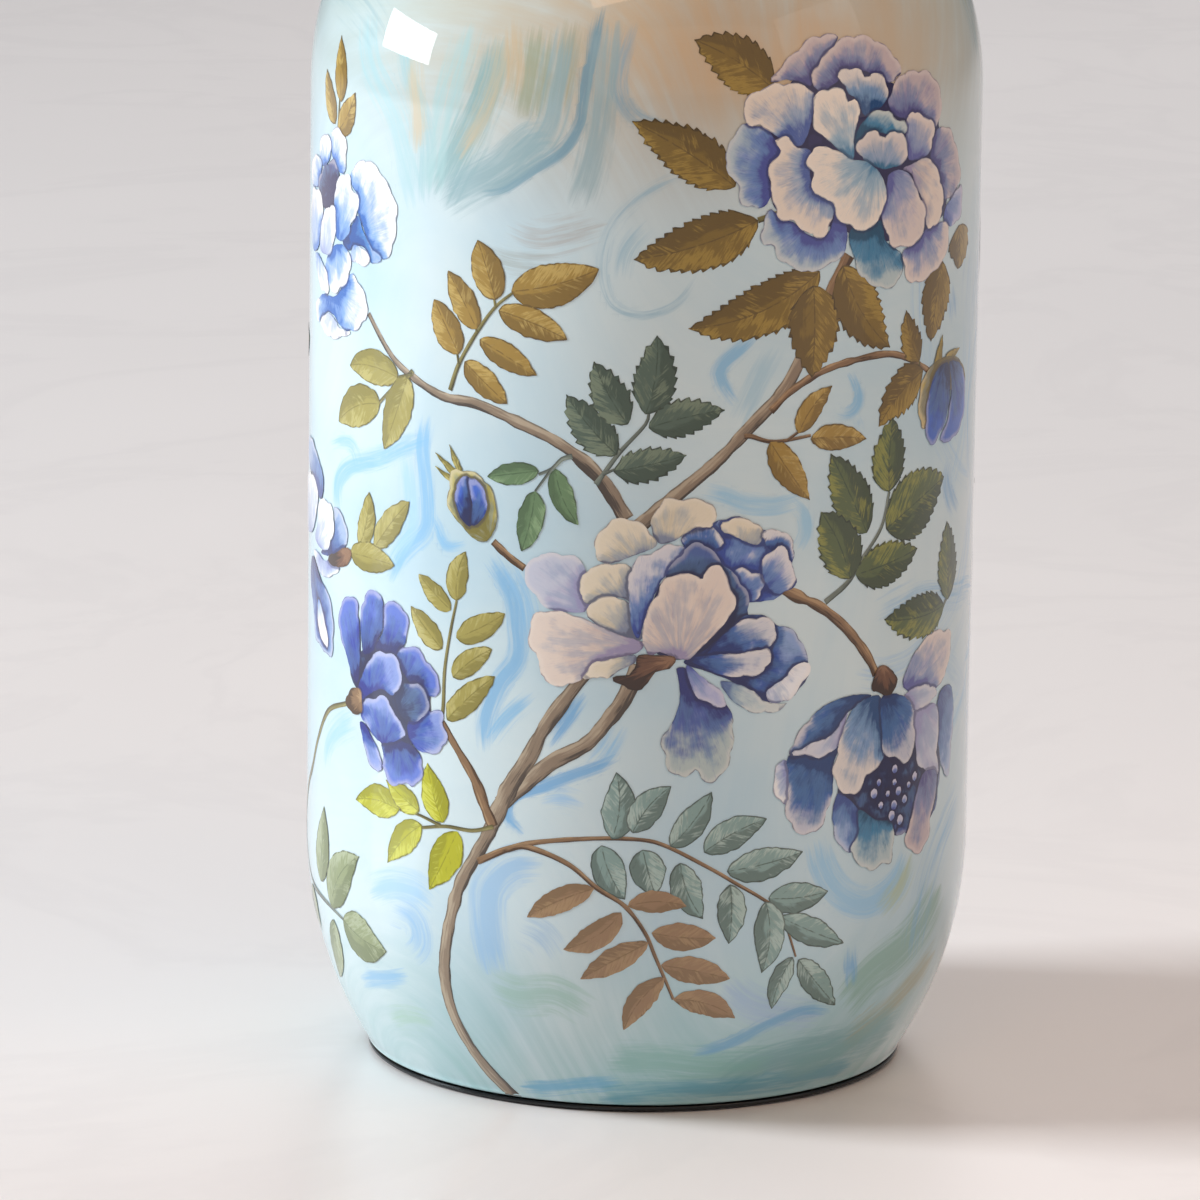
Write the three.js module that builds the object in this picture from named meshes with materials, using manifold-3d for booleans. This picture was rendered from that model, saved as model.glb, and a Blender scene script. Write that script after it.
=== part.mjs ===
// A tall painted pottery vase: a cylindrical body with a rounded shoulder and foot, standing on a thin black base.
// Units are millimetres and +Z is up. The origin is on the surface that the vase stands on, under its axis.
import * as THREE from "three";
import { mergeVertices } from "three/addons/utils/BufferGeometryUtils.js";
import Module from "manifold-3d";

// Body: outside sizes.
const TOTAL_HEIGHT = 400;
const BELLY_RADIUS = 100;
const FOOT_RADIUS = 81.4;
const FOOT_EDGE = 1.5;
const LOWER_CURVE = 118;
const SHOULDER_CURVE = 90;
const NECK_RADIUS = 42;
const NECK_FILLET = 8;
const NECK_HEIGHT = 14.5;

// Body: wall, lip, floor and the well under the foot.
const WALL = 6;
const LIP_BEAD = 4.2;
const LIP_OVERHANG = 6;
const LIP_INNER_ROUND = 4;
const FLOOR_THICKNESS = 7;
const FLOOR_FILLET = 12;
const FOOT_WELL_DEPTH = 5;
const FOOT_RIM_WIDTH = 11;

// Base plate, the bedding under the foot, and the felt pads.
const PLATE_INSET = 0.6;
const PLATE_THICKNESS = 1.2;
const PLATE_EDGE = 0.4;
const SPIGOT_HEIGHT = 4;
const BEDDING_THICKNESS = 0.4;
const BEDDING_INSET = 2;
const PAD_COUNT = 4;
const PAD_RADIUS = 9;
const PAD_THICKNESS = 2;
const PAD_STAND = 0.6;
const PAD_MARGIN = 0.3;
const PAD_EDGE_DISTANCE = 12;
const CLEARANCE = 0.3;

// Facets round the axis, and the length of a facet along an arc.
const ROUND_FACETS = 60;
const PAD_FACETS = 32;
const ARC_STEP = 12;

// Heights and radii that follow from the sizes above.
const plateBottom = PAD_STAND;
const plateTop = plateBottom + PLATE_THICKNESS;
const footBottom = plateTop + BEDDING_THICKNESS;
const wellRadius = FOOT_RADIUS - FOOT_RIM_WIDTH;
const wellTop = footBottom + FOOT_WELL_DEPTH;
const floorTop = wellTop + FLOOR_THICKNESS;
const plateRadius = FOOT_RADIUS - PLATE_INSET;
const padRing = wellRadius - PAD_EDGE_DISTANCE;

const wasm = await Module();
wasm.setup();

// Points along an arc, from one angle to another in radians, about a centre in the (radius, height) plane.
function arc(centre, radius, from, to) {
  const steps = Math.max(3, Math.ceil((Math.abs(to - from) * radius) / ARC_STEP));
  const curve = new THREE.EllipseCurve(centre.x, centre.y, radius, radius, from, to, to < from, 0);
  return curve.getPoints(steps);
}

// A solid of revolution about Z. The profile runs anticlockwise in the (radius, height) plane.
function turned(profile, facets) {
  const distinct = profile.filter((p, i) => i === 0 || p.distanceTo(profile[i - 1]) > 1e-6);
  return new THREE.LatheGeometry(distinct, facets).rotateX(Math.PI / 2);
}

// A closed geometry as a manifold-3d solid.
function solidOf(geometry) {
  const bare = geometry.clone();
  bare.deleteAttribute("normal");
  bare.deleteAttribute("uv");
  const merged = mergeVertices(bare, 1e-4);
  return new wasm.Manifold(
    new wasm.Mesh({
      numProp: 3,
      vertProperties: new Float32Array(merged.attributes.position.array),
      triVerts: new Uint32Array(merged.index.array),
    }),
  );
}

// A manifold-3d solid as a three.js geometry.
function geometryOf(solid) {
  const mesh = solid.getMesh();
  const geometry = new THREE.BufferGeometry();
  geometry.setAttribute("position", new THREE.BufferAttribute(new Float32Array(mesh.vertProperties), 3));
  geometry.setIndex(new THREE.BufferAttribute(new Uint32Array(mesh.triVerts), 1));
  geometry.computeVertexNormals();
  return geometry;
}

function named(name, geometry, colour, roughness) {
  const material = new THREE.MeshStandardMaterial({ color: colour, roughness, metalness: 0 });
  const mesh = new THREE.Mesh(geometry, material);
  mesh.name = name;
  return mesh;
}

// The pottery shell: floor, wall, shoulder, neck and rolled lip, hollow and open at the mouth.
function vaseBody() {
  const bend = Math.acos(1 - (BELLY_RADIUS - FOOT_RADIUS) / LOWER_CURVE);
  const lower = new THREE.Vector2(
    BELLY_RADIUS - LOWER_CURVE,
    footBottom + FOOT_EDGE + LOWER_CURVE * Math.sin(bend),
  );

  // The neck fillet touches the shoulder curve from outside, so their centres are one sum of radii apart.
  const neckStart = TOTAL_HEIGHT - NECK_HEIGHT;
  const fillet = new THREE.Vector2(NECK_RADIUS + NECK_FILLET, neckStart);
  const reach = SHOULDER_CURVE + NECK_FILLET;
  const across = fillet.x - (BELLY_RADIUS - SHOULDER_CURVE);
  const rise = Math.sqrt(reach * reach - across * across);
  const shoulder = new THREE.Vector2(BELLY_RADIUS - SHOULDER_CURVE, neckStart - rise);
  const turn = Math.atan2(rise, across);

  // The floor fillet touches the inside of the wall's lower curve.
  const inner = LOWER_CURVE - WALL - FLOOR_FILLET;
  const drop = lower.y - floorTop - FLOOR_FILLET;
  const fall = -Math.asin(drop / inner);
  const corner = new THREE.Vector2(lower.x + inner * Math.cos(fall), floorTop + FLOOR_FILLET);

  const mouth = NECK_RADIUS - WALL;
  const bead = new THREE.Vector2(NECK_RADIUS + LIP_OVERHANG - LIP_BEAD, TOTAL_HEIGHT - LIP_BEAD);
  const profile = [
    new THREE.Vector2(0, wellTop),
    new THREE.Vector2(wellRadius, wellTop),
    new THREE.Vector2(wellRadius, footBottom),
    ...arc(new THREE.Vector2(FOOT_RADIUS - FOOT_EDGE, footBottom + FOOT_EDGE), FOOT_EDGE, -Math.PI / 2, 0),
    ...arc(lower, LOWER_CURVE, -bend, 0),
    ...arc(shoulder, SHOULDER_CURVE, 0, turn),
    ...arc(fillet, NECK_FILLET, turn + Math.PI, Math.PI),
    ...arc(bead, LIP_BEAD, -Math.PI / 2, Math.PI / 2),
    ...arc(new THREE.Vector2(mouth + LIP_INNER_ROUND, TOTAL_HEIGHT - LIP_INNER_ROUND), LIP_INNER_ROUND,
      Math.PI / 2, Math.PI),
    ...arc(fillet, NECK_FILLET + WALL, Math.PI, turn + Math.PI),
    ...arc(shoulder, SHOULDER_CURVE - WALL, turn, 0),
    ...arc(lower, LOWER_CURVE - WALL, 0, fall),
    ...arc(corner, FLOOR_FILLET, fall, -Math.PI / 2),
    new THREE.Vector2(0, floorTop),
  ];
  return named("vase_body", turned(profile, ROUND_FACETS), 0xaed3dd, 0.15);
}

// Where each felt pad sits, evenly spaced round the axis.
function padPlaces() {
  return Array.from({ length: PAD_COUNT }, (_, i) => {
    const angle = ((i + 0.5) * 2 * Math.PI) / PAD_COUNT;
    return new THREE.Vector2(padRing * Math.cos(angle), padRing * Math.sin(angle));
  });
}

// A short round disc between two heights.
function disc(radius, bottom, top, place) {
  const profile = [
    new THREE.Vector2(0, bottom),
    new THREE.Vector2(radius, bottom),
    new THREE.Vector2(radius, top),
    new THREE.Vector2(0, top),
  ];
  return turned(profile, PAD_FACETS).translate(place.x, place.y, 0);
}

// The black base: a turned plate with a raised centre that locates in the well under the foot.
function basePlate() {
  const spigot = wellRadius - CLEARANCE;
  const edge = plateRadius - PLATE_EDGE;
  const profile = [
    new THREE.Vector2(0, plateBottom),
    ...arc(new THREE.Vector2(edge, plateBottom + PLATE_EDGE), PLATE_EDGE, -Math.PI / 2, 0),
    ...arc(new THREE.Vector2(edge, plateTop - PLATE_EDGE), PLATE_EDGE, 0, Math.PI / 2),
    new THREE.Vector2(spigot, plateTop),
    new THREE.Vector2(spigot, plateTop + SPIGOT_HEIGHT),
    new THREE.Vector2(0, plateTop + SPIGOT_HEIGHT),
  ];
  const plate = solidOf(turned(profile, ROUND_FACETS));
  const pockets = padPlaces().map((place) => solidOf(disc(PAD_RADIUS + PAD_MARGIN, -1, PAD_THICKNESS, place)));
  return named("base_plate", geometryOf(plate.subtract(wasm.Manifold.union(pockets))), 0x14191c, 0.2);
}

// The soft ring that beds the foot rim on the plate.
function beddingRing() {
  const outer = FOOT_RADIUS - BEDDING_INSET;
  const inner = wellRadius + BEDDING_INSET;
  const profile = [
    new THREE.Vector2(inner, plateTop),
    new THREE.Vector2(outer, plateTop),
    new THREE.Vector2(outer, footBottom),
    new THREE.Vector2(inner, footBottom),
    new THREE.Vector2(inner, plateTop),
  ];
  return named("bedding_ring", turned(profile, ROUND_FACETS), 0x1b1b1b, 0.8);
}

const vase = new THREE.Group();
vase.add(vaseBody());
vase.add(basePlate());
vase.add(beddingRing());
padPlaces().forEach((place, i) => {
  vase.add(named(`felt_pad_${i + 1}`, disc(PAD_RADIUS, 0, PAD_THICKNESS, place), 0x2a2a2c, 0.95));
});

export default vase;
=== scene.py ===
"""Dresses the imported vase: glazed body, brushed flowering branches, lacquered base, felt pads and stage."""

import math

import bpy
import numpy as np
from bpy.props import FloatProperty, FloatVectorProperty, IntProperty, PointerProperty
from mathutils import Matrix, Vector
from mathutils.geometry import delaunay_2d_cdt


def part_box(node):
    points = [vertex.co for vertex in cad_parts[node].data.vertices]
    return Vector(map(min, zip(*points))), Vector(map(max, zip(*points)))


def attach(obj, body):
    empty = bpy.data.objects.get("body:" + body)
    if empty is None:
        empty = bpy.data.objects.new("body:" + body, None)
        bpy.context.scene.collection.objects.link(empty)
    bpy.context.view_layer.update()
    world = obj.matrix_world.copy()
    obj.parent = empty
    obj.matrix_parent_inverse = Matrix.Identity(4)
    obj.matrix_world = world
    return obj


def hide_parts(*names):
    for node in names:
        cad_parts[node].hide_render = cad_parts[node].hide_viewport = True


bl_info = {
    "name": "Painted Pottery Vase",
    "version": (1, 0, 0),
    "blender": (4, 5, 0),
    "location": "3D View > Sidebar > Vase",
    "description": "Builds a hand-painted pottery vase piece by piece round its packed frame",
    "category": "Object",
}

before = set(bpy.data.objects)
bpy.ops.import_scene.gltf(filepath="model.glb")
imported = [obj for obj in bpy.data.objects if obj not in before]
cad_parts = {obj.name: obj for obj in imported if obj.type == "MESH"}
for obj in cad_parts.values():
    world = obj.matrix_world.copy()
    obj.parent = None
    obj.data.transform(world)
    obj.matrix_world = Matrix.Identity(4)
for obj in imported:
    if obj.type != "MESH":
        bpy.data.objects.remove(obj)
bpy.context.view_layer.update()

MM = 0.001


# ---------------------------------------------------------------- sizes that come from the frame

def span(node):
    """A node's lowest and highest corners in millimetres."""
    low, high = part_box(node)
    return np.array(low) / MM, np.array(high) / MM


BODY_LOW, BODY_HIGH = span("vase_body")
PLATE_LOW, PLATE_HIGH = span("base_plate")
RING_LOW, RING_HIGH = span("bedding_ring")
PADS = sorted(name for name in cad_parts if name.startswith("felt_pad"))

BELLY = float(BODY_HIGH[0])
TOP = float(BODY_HIGH[2])
FOOT_BOTTOM = float(BODY_LOW[2])
PLATE_RADIUS = float(PLATE_HIGH[0])
PLATE_BOTTOM = float(PLATE_LOW[2])
PLATE_TOP = float(RING_LOW[2])
SPIGOT_TOP = float(PLATE_HIGH[2])
AROUND = 2 * math.pi * BELLY

# Sizes of the pottery in millimetres that the frame's boxes don't give.
FOOT_RADIUS = 81.4
FOOT_EDGE = 1.5
LOWER_CURVE = 118.0
SHOULDER_CURVE = 90.0
NECK_RADIUS = 42.0
NECK_FILLET = 8.0
NECK_HEIGHT = 14.5
WALL = 6.0
LIP_BEAD = 4.2
LIP_OVERHANG = 6.0
LIP_INNER_ROUND = 4.0
FLOOR_THICKNESS = 7.0
FLOOR_FILLET = 12.0
FOOT_WELL_DEPTH = 5.0
FOOT_RIM_WIDTH = 11.0
CLEARANCE = 0.3
PAD_MARGIN = 0.3
PLATE_EDGE = 0.4
BEDDING_INSET = 2.0
PAD_THICKNESS = 2.0

WELL_RADIUS = FOOT_RADIUS - FOOT_RIM_WIDTH
WELL_TOP = FOOT_BOTTOM + FOOT_WELL_DEPTH
FLOOR_TOP = WELL_TOP + FLOOR_THICKNESS
BEND = math.acos(1 - (BELLY - FOOT_RADIUS) / LOWER_CURVE)
LOWER = (BELLY - LOWER_CURVE, FOOT_BOTTOM + FOOT_EDGE + LOWER_CURVE * math.sin(BEND))
FILLET = (NECK_RADIUS + NECK_FILLET, TOP - NECK_HEIGHT)
ACROSS_NECK = FILLET[0] - (BELLY - SHOULDER_CURVE)
RISE_NECK = math.sqrt((SHOULDER_CURVE + NECK_FILLET) ** 2 - ACROSS_NECK**2)
SHOULDER = (BELLY - SHOULDER_CURVE, FILLET[1] - RISE_NECK)
TURN = math.atan2(RISE_NECK, ACROSS_NECK)

# How finely the pottery is turned, in millimetres along the profile, and in segments round it.
SEGMENTS = 360
OUTER_STEP = 1.6
INNER_STEP = 6.0
LIP_STEP = 0.6
FINE_STEP = 0.4
BASE_SEGMENTS = 192
BEDDING_SEGMENTS = 144
PAD_SEGMENTS = 72
POCKET_SEGMENTS = 48

# The brushwork, in millimetres: how far above the foot's bottom it starts, the length of a petal's lobe,
# the pitch of a leaf's teeth, and how far in from an outline the first points stand.
PAINT_START = 0.5
LOBE_LENGTH = 8
TOOTH_PITCH = 2.9
INSET = 0.8

# Coats of paint: which coat sprigs begin on, over how many coats they are spread, and where flowers begin.
SPRIG_COAT = 1
SPRIG_COATS = 3
FLOWER_COAT = 4
REAR_FLOWER_COATS = 2

# Where the random draws start for each group of pieces.
GROUND_SEED = 7
FRONT_BRANCH_SEED = 11
REAR_BRANCH_SEED = 12
SIDE_BRANCH_SEED = 13
SPRIG_SEED = 40
FLOWER_SEED = 80
REAR_SPRIG_SEED = 140
REAR_FLOWER_SEED = 180
PAD_SEED = 300


def tint(code):
    """A colour written as on a paint chart, as linear red, green, blue and alpha."""
    parts = [int(code[i:i + 2], 16) / 255 for i in (1, 3, 5)]
    return tuple(p / 12.92 if p <= 0.04045 else ((p + 0.055) / 1.055) ** 2.4 for p in parts) + (1.0,)


class VaseSizes(bpy.types.PropertyGroup):
    """Sizes of the painting and the turning."""

    segments: IntProperty(name="Segments", description="Facets round the pottery", default=SEGMENTS, min=48)
    paint_lift: FloatProperty(
        name="Paint lift", description="How far the first coat of paint stands off the glaze, in millimetres",
        default=0.06, min=0.01,
    )
    coat: FloatProperty(
        name="Coat", description="How much each later coat of paint adds, in millimetres",
        default=0.04, min=0.005,
    )
    petal_mesh: FloatProperty(
        name="Petal mesh", description="Spacing of the points inside a petal, in millimetres",
        default=2.2, min=1.0,
    )


def chosen(name, description, code):
    """A colour that a user may change."""
    return FloatVectorProperty(name=name, description=description, subtype="COLOR", size=4,
    default=tint(code))


class VaseColours(bpy.types.PropertyGroup):
    """Colours of the glaze, the clay and the base."""

    pale: chosen("Pale ground", "Milky ground of the glaze", "#cfe1e6")
    sky: chosen("Sky wash", "Thin blue brushed into the ground", "#a0c8dd")
    sea: chosen("Sea wash", "Turquoise round the foot and shoulder", "#86b9b6")
    # Painted warm reflection: a sand colour high on the shoulder that stands in for warm light from above
    # mirrored in the gloss.
    painted_warm_reflection: chosen("Sand wash", "Warm wash high on the shoulder", "#cfb38f")
    clay: chosen("Clay", "Bare clay of the foot ring", "#b98f6e")
    lacquer: chosen("Lacquer", "Black lacquer of the base", "#0a0f12")
    felt: chosen("Felt", "Felt of the pads", "#2b2c30")


# ---------------------------------------------------------------- shader sums

class Socket:
    """An output socket. Arithmetic on it adds nodes: Math for numbers, Vector Math for vectors."""

    def __init__(self, paint, socket):
        self.paint = paint
        self.socket = socket

    def combine(self, operation, first, second):
        parts = [p.socket.type for p in (first, second) if isinstance(p, Socket)]
        if "VECTOR" in parts:
            vectors = [(p,) * 3 if isinstance(p, (int, float)) else p for p in (first, second)]
            return self.paint.add("VectorMath", {"operation": operation}, {0: vectors[0], 1: vectors[1]})
        return self.paint.add("Math", {"operation": operation}, {0: first, 1: second})

    def __add__(self, other):
        return self.combine("ADD", self, other)

    def __radd__(self, other):
        return self.combine("ADD", other, self)

    def __sub__(self, other):
        return self.combine("SUBTRACT", self, other)

    def __rsub__(self, other):
        return self.combine("SUBTRACT", other, self)

    def __mul__(self, other):
        return self.combine("MULTIPLY", self, other)

    def __rmul__(self, other):
        return self.combine("MULTIPLY", other, self)

    def __abs__(self):
        return self.paint.add("Math", {"operation": "ABSOLUTE"}, {0: self})

    def step(self, low, high):
        """A smooth step: 0 below low and 1 above high."""
        inputs = {"Value": self, "From Min": low, "From Max": high}
        return self.paint.add("MapRange", {"interpolation_type": "SMOOTHSTEP"}, inputs)


class Paint:
    """A material being mixed. add() makes any node and feed() links or sets a socket."""

    def __init__(self, name, **constants):
        self.material = bpy.data.materials.new(name)
        self.material.use_nodes = True
        self.tree = self.material.node_tree
        self.shader = self.tree.nodes["Principled BSDF"]
        for socket, value in constants.items():
            self.feed(self.shader.inputs[socket.replace("_", " ")], value)

    def add(self, kind, settings=None, inputs=None, output=0):
        node = self.tree.nodes.new("ShaderNode" + kind)
        for name, value in (settings or {}).items():
            setattr(node, name, value)
        for key, value in (inputs or {}).items():
            self.feed(node.inputs[key], value)
        return Socket(self, node.outputs[output])

    def feed(self, socket, value):
        if isinstance(value, Socket):
            self.tree.links.new(value.socket, socket)
        else:
            socket.default_value = value

    def mark(self, name, output="Fac"):
        """What the mesh says about the brushwork at a point."""
        return self.add("Attribute", {"attribute_name": name}, output=output)

    def place(self):
        return self.add("TexCoord", output="Object")

    def noise(self, where, scale=1.0, detail=4.0, roughness=0.55, distortion=0.0):
        shape = {"Scale": scale, "Detail": detail, "Roughness": roughness, "Distortion": distortion}
        return self.add("TexNoise", {}, {"Vector": where, **shape})

    def mix(self, share, first, second):
        """One colour turning into another as share goes from 0 to 1."""
        inputs = {0: share, 6: first, 7: second}
        return self.add("Mix", {"data_type": "RGBA", "clamp_factor": True}, inputs, output=2)

    def colour(self, value):
        self.feed(self.shader.inputs["Base Color"], value)

    def relief(self, height, depth):
        """Raises the surface by height times depth, in millimetres."""
        bump = self.add("Bump", {}, {"Height": height, "Distance": depth * MM, "Strength": 1.0})
        self.feed(self.shader.inputs["Normal"], bump)


# The clear gloss over all the painting.
VARNISH = {
    "Roughness": 0.45, "Specular_IOR_Level": 0.15,
    "Coat_Weight": 1.0, "Coat_Roughness": 0.025, "Coat_IOR": 1.52,
}


def once(maker):
    """Keeps the material that a maker makes, so that every piece shares it."""
    made = {}

    def kept():
        if "material" not in made:
            made["material"] = maker()
        return made["material"]

    return kept


@once
def ground_glaze():
    """Pale glaze brushed wet: a cloudy ground, then coats of thin strokes, split into strands."""
    colours = bpy.context.scene.vase_colours
    p = Paint("ground_glaze", **VARNISH)
    where = p.place()
    flow = p.mark("flow", "Vector")
    bristle = p.noise(flow, 1.0, 5.0, 0.62, 0.2)
    clouds = p.noise(where, 11.0, 3.0, 0.5, 0.5)
    blue = clouds.step(0.35, 0.7) * 0.5 + (bristle - 0.5) * 0.35
    base = p.mix(blue, tuple(colours.pale), tuple(colours.sky))
    sea = p.mark("sea") * (clouds + bristle * 0.7 - 0.35).step(0.1, 0.8)
    base = p.mix(sea, base, tuple(colours.sea))
    # Painted warm reflection: sand colour streaked into the shoulder where warm light from above would be
    # mirrored in the gloss.
    painted_warm_reflection = p.mark("painted_warm_reflection") * (clouds + bristle * 0.5 - 0.25).step(0.1, 0.75)
    base = p.mix(painted_warm_reflection, base, tuple(colours.painted_warm_reflection))
    for coat in range(GROUND_COATS):
        run = p.mark(f"run_{coat}", "Vector")
        strands = p.noise(run * (0.55, 0.035, 1.0), 1.0, 3.0, 0.6, 0.3)
        hairs = p.noise(run * (2.2, 0.06, 1.0), 1.0, 2.0, 0.6)
        cover = p.mark(f"cover_{coat}")
        share = (cover * 1.15 + (strands - 0.5) * 1.5 + (hairs - 0.5) * 0.5).step(0.28, 1.05)
        base = p.mix(share * cover.step(0.0, 0.25) * 0.78, base, p.mark(f"wash_{coat}", "Color"))
    p.colour(base)
    p.relief(bristle, 0.03)
    return p.material


@once
def inner_glaze():
    """Plain milky glaze inside the vase, with fine crazing and a blue tinge where it ran thick."""
    p = Paint("inner_glaze", **{"Roughness": 0.12, "Coat_Weight": 0.5, "Coat_Roughness": 0.05})
    where = p.place()
    clouds = p.noise(where, 18.0, 3.0, 0.5, 0.4)
    cells = p.add("TexVoronoi", {"feature": "DISTANCE_TO_EDGE"}, {"Vector": where, "Scale": 160.0})
    craze = 1 - cells.step(0.004, 0.02)
    base = p.mix(clouds.step(0.4, 0.7), tint("#dfe9ea"), tint("#bcd6dd"))
    p.colour(p.mix(craze * 0.25, base, tint("#8fa7ad")))
    p.relief(clouds, 0.1)
    return p.material


@once
def bare_clay():
    """Unglazed clay of the foot ring, with sandy grains and darker fire marks."""
    colours = bpy.context.scene.vase_colours
    p = Paint("bare_clay", Roughness=0.85)
    where = p.place()
    grains = p.noise(where, 900.0, 3.0, 0.6)
    fire = p.noise(where, 40.0, 3.0, 0.5)
    base = p.mix(fire.step(0.4, 0.7), tuple(colours.clay), tint("#8d6448"))
    p.colour(p.mix(grains.step(0.55, 0.7) * 0.4, base, tint("#dcc1a0")))
    p.relief(grains, 0.12)
    return p.material


@once
def petal_paint():
    """Petals: dark at the root, streaked towards a pale rim, shaded beside the petals that lie over them."""
    p = Paint("petal_paint", **VARNISH)
    grain = p.mark("grain", "Vector")
    edge = p.mark("edge")
    under = p.mark("under")
    deep = p.mark("deep", "Color")
    body = p.mark("body", "Color")
    streaks = p.noise(grain * (1.5, 0.15, 1.0), 1.0, 4.0, 0.6)
    soft = p.noise(grain * (0.2, 0.2, 1.0), 1.0, 3.0, 0.5)
    shadow = 1 - (under + (soft - 0.5) * 3.0).step(0.0, 4.6)
    tone = p.mark("tone") + (streaks - 0.5) * 0.36 + (soft - 0.5) * 0.75 - shadow * 0.5
    colour = p.mix(tone.step(0.0, 0.52), deep, body)
    colour = p.mix(tone.step(0.42, 0.92), colour, p.mark("rim", "Color"))
    washes = p.noise(grain * (0.4, 0.09, 1.0), 1.0, 3.0, 0.5)
    cool = (washes - tone * 0.28).step(0.2, 0.42) * tone.step(0.05, 0.35) * (1 - tone.step(0.75, 1.1))
    colour = p.mix(cool * 0.36, colour, p.mix(0.3, tint("#6c9cc0"), deep))
    crest = (1 - (edge + (soft - 0.5) * 1.5).step(0.4, 1.8)) * tone.step(0.55, 0.85)
    colour = p.mix(crest * 0.55, colour, p.mix(0.5, p.mark("rim", "Color"), tint("#f3ebe2")))
    hairs = p.noise(grain * (4.2, 0.3, 1.0), 1.0, 3.0, 0.6)
    colour = p.mix(hairs.step(0.56, 0.72) * 0.3, colour, body)
    fine = (1 - hairs.step(0.3, 0.46)) * (1 - tone.step(0.5, 1.1))
    colour = p.mix(fine * 0.45, colour, deep)
    ink = p.mix(0.6, deep, tint("#1d1840"))
    wobble = p.noise(grain * (0.4, 0.4, 1.0), 1.0, 2.0)
    beside = 1 - (under - wobble * 1.1).step(-0.1, 0.6)
    outline = (1 - (edge - wobble * 0.5).step(-0.18, 0.14)) * wobble.step(0.35, 0.6) * p.mark("line")
    colour = p.mix(outline * 0.6, colour, ink)
    p.colour(p.mix(beside * 0.85, colour, ink))
    p.relief(streaks, 0.05)
    return p.material


@once
def leaf_paint():
    """Leaves: flat colour, darker on one side of the rib, with slanting strokes and a broken dark edge."""
    p = Paint("leaf_paint", **VARNISH)
    grain = p.mark("grain", "Vector")
    edge = p.mark("edge")
    across = p.mark("rib")
    along = p.mark("along")
    deep = p.mark("deep", "Color")
    seed = p.add("SeparateXYZ", {}, {0: grain}, output=2)
    slant = p.add("CombineXYZ", {}, {0: along - abs(across) * 1.2, 1: (along + abs(across)) * 0.12, 2: seed})
    strokes = p.noise(slant * (0.85, 1.0, 1.0), 1.0, 3.0, 0.55)
    patches = p.noise(grain * (0.16, 0.1, 1.0), 1.0, 2.0, 0.5)
    dry = p.noise(grain * (1.6, 0.14, 1.0), 1.0, 4.0, 0.65)
    half = (p.mark("tone") + (patches - 0.5) * 1.1 + (dry - 0.5) * 0.35).step(0.5, 0.66)
    colour = p.mix(half * 0.6, p.mark("body", "Color"), deep)
    light = (patches * 0.9 - p.mark("tone") * 0.3 + (strokes - 0.5) * 1.1 + 0.2).step(0.5, 0.72)
    colour = p.mix(light * 0.75, colour, p.mark("rim", "Color"))
    vein = (strokes + (dry - 0.5) * 0.3).step(0.57, 0.68) * edge.step(0.2, 1.0)
    colour = p.mix(vein * 0.4, colour, deep)
    wobble = p.noise(grain * (0.45, 0.45, 1.0), 1.0, 2.0)
    rib = (1 - abs(across + (wobble - 0.5) * 0.4).step(0.06, 0.3)) * edge.step(0.1, 0.6)
    colour = p.mix(rib * wobble.step(0.3, 0.55) * 0.75, colour, deep)
    ink = p.mix(0.45, deep, tint("#1c1710"))
    gate = (wobble + p.mark("line") * 0.3 - 0.24).step(0.34, 0.54)
    outline = (1 - (edge - wobble * 0.75).step(-0.2, 0.15)) * gate
    p.colour(p.mix(outline * 0.8, colour, ink))
    p.relief(dry, 0.05)
    return p.material


@once
def bark_paint():
    """Branches: lit along one side, dark along the other, with long dry-brush marks."""
    p = Paint("bark_paint", **VARNISH)
    grain = p.mark("grain", "Vector")
    edge = p.mark("edge")
    deep = p.mark("deep", "Color")
    streaks = p.noise(grain * (1.5, 0.07, 1.0), 1.0, 5.0, 0.65)
    blots = p.noise(grain * (0.3, 0.07, 1.0), 1.0, 3.0, 0.5)
    tone = p.mark("tone") + (streaks - 0.5) * 1.3 + (blots - 0.5) * 1.1
    colour = p.mix(tone.step(0.1, 0.45), p.mark("rim", "Color"), p.mark("body", "Color"))
    colour = p.mix(tone.step(0.62, 0.9), colour, deep)
    wobble = p.noise(grain * (0.4, 0.2, 1.0), 1.0, 2.0)
    outline = (1 - (edge - wobble * 0.7).step(-0.2, 0.25)) * wobble.step(0.3, 0.55) * p.mark("line")
    p.colour(p.mix(outline * 0.8, colour, p.mix(0.35, deep, tint("#17130f"))))
    p.relief(streaks, 0.06)
    return p.material


@once
def black_lacquer():
    """Black lacquer on turned wood: faint rings of the turning under a deep gloss, with faint paler flecks of
    dust.
    """
    colours = bpy.context.scene.vase_colours
    p = Paint("black_lacquer", Specular_IOR_Level=0.2, Coat_Weight=0.5, Coat_Roughness=0.04)
    where = p.place()
    rings = p.noise(where * (1.0, 1.0, 9.0), 260.0, 4.0, 0.6)
    dust = p.noise(where, 70.0, 3.0, 0.6)
    p.colour(p.mix(dust.step(0.5, 0.75) * 0.25, tuple(colours.lacquer), tint("#20272b")))
    p.feed(p.shader.inputs["Roughness"], 0.22 + rings * 0.2)
    p.relief(rings, 0.02)
    return p.material


@once
def bedding_rubber():
    """Dull black bedding compound with a pitted skin."""
    p = Paint("bedding_rubber", Roughness=0.8)
    pits = p.noise(p.place(), 700.0, 4.0, 0.65)
    p.colour(p.mix(pits.step(0.45, 0.65), tint("#141516"), tint("#292a2b")))
    p.relief(pits, 0.08)
    return p.material


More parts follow.
